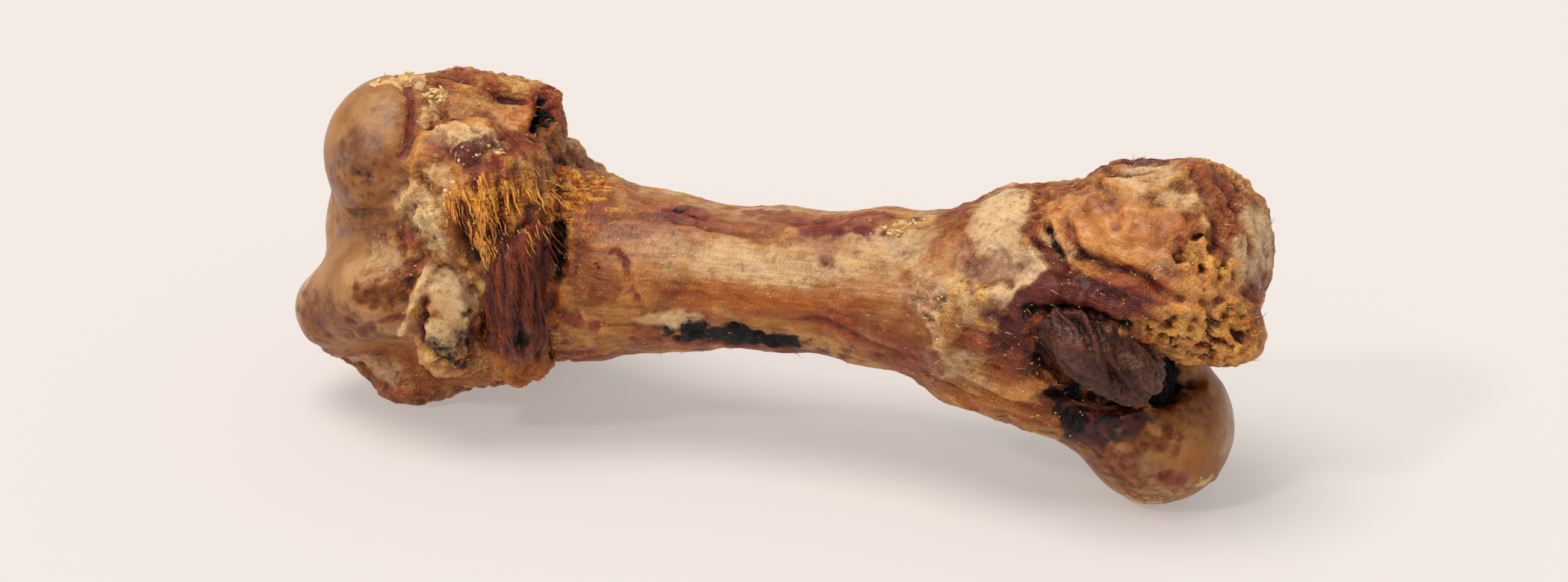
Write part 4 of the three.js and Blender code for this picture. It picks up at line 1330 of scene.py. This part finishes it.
class FEMUR_OT_golden_fibres(bpy.types.Operator):
    """Strew the frayed golden fibres over the torn tendon and the top of the strap"""

    bl_idname = "femur.golden_fibres"
    bl_label = "Golden Fibres"

    def execute(self, context):
        settings = context.scene.femur_scatter
        mesh = bpy.data.objects["bone_surface"].data
        points = points_of(mesh)
        share = np.maximum(near_path(points, FRAYED[:1], 11), near_path(points, FRAYED[1:], 4))
        share = share * thickly(values_of(mesh, "golden"), 0.1, 0.5) * smoothstep(-0.3, 0.3,
                                                                                  lumps(points, 5, 2))
        strew("golden_fibres", mesh, share, strands_tree(),
              strand_material("GoldenFibres", "ffc468", "b4561e", 0.28),
              {"Density": 0.6 * settings.fibres, "Length": settings.fibre_length, "Thickness": 0.00030,
               "Lift": 0.05, "Spread": 0.28, "Curl": 0.0052, "Seed": 3})
        strew("tendon_bundles", mesh, share, strands_tree(), bpy.data.materials["GoldenFibres"],
              {"Density": 0.13 * settings.fibres, "Length": 1.1 * settings.fibre_length,
               "Thickness": 0.00070, "Lift": 0.0, "Spread": 0.16, "Curl": 0.0050, "Seed": 6})
        mesh = bpy.data.objects["fibrous_strap"].data
        share = 0.35 * smoothstep(80, 90, points_of(mesh)[:, 2]) * smoothstep(0.2, -0.3,
                                                                              normals_of(mesh)[:, 1])
        strew("golden_fringe", mesh, share, strands_tree(), bpy.data.materials["GoldenFibres"],
              {"Density": settings.fibres, "Length": 0.006, "Thickness": 0.00036, "Lift": -0.02,
               "Spread": 0.10, "Curl": 0.0026, "Seed": 4})
        return {"FINISHED"}


class FEMUR_OT_dark_sinews(bpy.types.Operator):
    """Lay the long dark sinews along the strap"""

    bl_idname = "femur.dark_sinews"
    bl_label = "Dark Sinews"

    def execute(self, context):
        mesh = bpy.data.objects["fibrous_strap"].data
        points = points_of(mesh)
        front = smoothstep(-0.2, -0.7, normals_of(mesh)[:, 1])
        share = front * smoothstep(46, 58, points[:, 2]) * smoothstep(-0.4, 0.3, lumps(points, 8, 2))
        strew("dark_sinews", mesh, share, strands_tree(),
              strand_material("DarkSinews", "a0583c", "5a261b", 0.28),
              {"Density": 1.2e5, "Length": 0.010, "Thickness": 0.00030, "Lift": 0.0, "Spread": 0.10,
               "Curl": 0.0012, "Seed": 5})
        return {"FINISHED"}


class FEMUR_OT_pale_hairs(bpy.types.Operator):
    """Strew short pale hairs of torn skin along the rims"""

    bl_idname = "femur.pale_hairs"
    bl_label = "Pale Hairs"

    def execute(self, context):
        mesh = bpy.data.objects["bone_surface"].data
        points = points_of(mesh)
        share = np.maximum.reduce([
            0.5 * thickly(values_of(mesh, "crust")), 0.5 * thickly(values_of(mesh, "gristle")),
            0.7 * thickly(values_of(mesh, "spongy")),
            0.12 * wildness(points) * (1 - values_of(mesh, "cartilage")),
            0.8 * near_path(points, TORN_EDGES, 5)]) * smoothstep(-0.2, 0.4, lumps(points + 17, 9, 2))
        strew("pale_hairs", mesh, share, strands_tree(), strand_material("PaleHairs", "e8c890", "a8703a"),
              {"Density": 1.6e5, "Length": 0.0036, "Thickness": 0.00018, "Lift": 0.22, "Spread": 0.5,
               "Curl": 0.0020, "Seed": 8})
        return {"FINISHED"}


class FEMUR_OT_crumbs(bpy.types.Operator):
    """Strew golden crumbs over the fleshy parts"""

    bl_idname = "femur.crumbs"
    bl_label = "Crumbs"

    def execute(self, context):
        settings = context.scene.femur_scatter
        mesh = bpy.data.objects["bone_surface"].data
        points = points_of(mesh)
        rough = wildness(points) * (1 - np.minimum(1, 1.6 * values_of(mesh, "cartilage")))
        share = np.maximum.reduce([
            0.9 * thickly(values_of(mesh, "crust")), 0.7 * thickly(values_of(mesh, "golden")),
            0.5 * thickly(values_of(mesh, "spongy")), 0.22 * rough, near_path(points, TORN_EDGES, 5)])
        share = share * smoothstep(0.0, 0.6, lumps(points + 29, 6, 3))
        strew("golden_crumbs", mesh, share, grains_tree(),
              strand_material("GoldenCrumbs", "f0cc90", "b5702f"),
              {"Density": settings.crumbs, "Size": settings.crumb_size, "Flatness": 0.7, "Unevenness": 0.7,
               "Seed": 11})
        return {"FINISHED"}


class FEMUR_OT_crust_flakes(bpy.types.Operator):
    """Strew flakes of pale crust along the outer condyle and the torn rims"""

    bl_idname = "femur.crust_flakes"
    bl_label = "Crust Flakes"

    def execute(self, context):
        mesh = bpy.data.objects["bone_surface"].data
        points = points_of(mesh)
        share = np.maximum.reduce([
            thickly(values_of(mesh, "crust")), 0.3 * thickly(values_of(mesh, "gristle"), 0.6, 1.0)])
        share = share * smoothstep(-0.1, 0.5, lumps(points + 43, 8, 2))
        strew("crust_flakes", mesh, share, grains_tree(), strand_material("CrustFlakes", "f2d6a2", "c9934f"),
              {"Density": context.scene.femur_scatter.flakes, "Size": 0.0009, "Flatness": 0.22,
               "Unevenness": 0.8, "Seed": 13})
        return {"FINISHED"}


class FEMUR_OT_stage(bpy.types.Operator):
    """Build the floor, the lights and the camera"""

    bl_idname = "femur.stage"
    bl_label = "Stage"

    def execute(self, context):
        settings = context.scene.femur_stage
        scene = context.scene
        mesh = bpy.data.meshes.new("floor")
        corners = [(x * FLOOR_REACH, y * FLOOR_REACH, 0) for x, y in ((-1, -1), (1, -1), (1, 1), (-1, 1))]
        mesh.from_pydata(corners, [], [(0, 1, 2, 3)])
        floor = new_object("floor", mesh)
        material, _, shader = new_material("PaleFloor", 0.9)
        shader.inputs["Base Color"].default_value = (*settings.floor_colour, 1)
        shader.inputs["Specular IOR Level"].default_value = 0.1
        shader.inputs["Emission Color"].default_value = (*settings.floor_colour, 1)
        shader.inputs["Emission Strength"].default_value = settings.floor_glow
        mesh.materials.append(material)

        scene.world = bpy.data.worlds.new("Studio")
        scene.world.use_nodes = True
        sky = scene.world.node_tree.nodes["Background"]
        sky.inputs["Color"].default_value = (1.0, 0.985, 0.97, 1)
        sky.inputs["Strength"].default_value = 0.50
        self.sun("key_light", settings.key, math.radians(36), Vector((0.22, 0.15, -1)))
        self.sun("fill_light", 0.75, math.radians(7), Vector((0.55, 0.75, -0.8)))

        data = bpy.data.cameras.new("camera")
        data.lens = LENS
        data.sensor_width = SENSOR
        data.clip_end = 50
        camera = bpy.data.objects.new("camera", data)
        scene.collection.objects.link(camera)
        level = math.cos(ELEVATION)
        back = Vector((math.sin(AZIMUTH) * level, -math.cos(AZIMUTH) * level, math.sin(ELEVATION)))
        camera.location = TARGET + back * (VIEW_WIDTH / 2 / (SENSOR / 2 / LENS))
        camera.rotation_euler = back.to_track_quat("Z", "Y").to_euler()
        scene.camera = camera
        scene.view_settings.view_transform = "Standard"
        return {"FINISHED"}

    def sun(self, name, strength, softness, towards):
        data = bpy.data.lights.new(name, "SUN")
        data.energy = strength
        data.angle = softness
        data.color = (1.0, 0.98, 0.955)
        light = new_object(name, data)
        light.rotation_euler = (-towards).to_track_quat("Z", "Y").to_euler()


class FEMUR_PT_panel(bpy.types.Panel):
    """Settings and pieces of the roasted femur"""

    bl_label = "Roasted Femur"
    bl_idname = "FEMUR_PT_panel"
    bl_space_type = "VIEW_3D"
    bl_region_type = "UI"
    bl_category = "Roasted Femur"

    def draw(self, context):
        for group in SETTINGS:
            box = self.layout.box()
            settings = getattr(context.scene, group)
            for name in settings.__annotations__:
                box.prop(settings, name)
        for operator in OPERATORS:
            self.layout.operator(operator.bl_idname)


SETTINGS = {"femur_bone": BoneSettings, "femur_meat": MeatSettings, "femur_scatter": ScatterSettings,
            "femur_stage": StageSettings}
OPERATORS = (FEMUR_OT_bone, FEMUR_OT_hollow_meat, FEMUR_OT_muscle_strap, FEMUR_OT_golden_fibres,
             FEMUR_OT_dark_sinews, FEMUR_OT_pale_hairs, FEMUR_OT_crumbs, FEMUR_OT_crust_flakes,
             FEMUR_OT_stage)
CLASSES = (*SETTINGS.values(), *OPERATORS, FEMUR_PT_panel)


def register():
    for cls in CLASSES:
        bpy.utils.register_class(cls)
    for name, cls in SETTINGS.items():
        setattr(bpy.types.Scene, name, bpy.props.PointerProperty(type=cls))


def unregister():
    for name in SETTINGS:
        delattr(bpy.types.Scene, name)
    for cls in reversed(CLASSES):
        bpy.utils.unregister_class(cls)


def main():
    register()
    for operator in OPERATORS:
        group, name = operator.bl_idname.split(".")
        getattr(getattr(bpy.ops, group), name)()


if __name__ == "__main__":
    main()
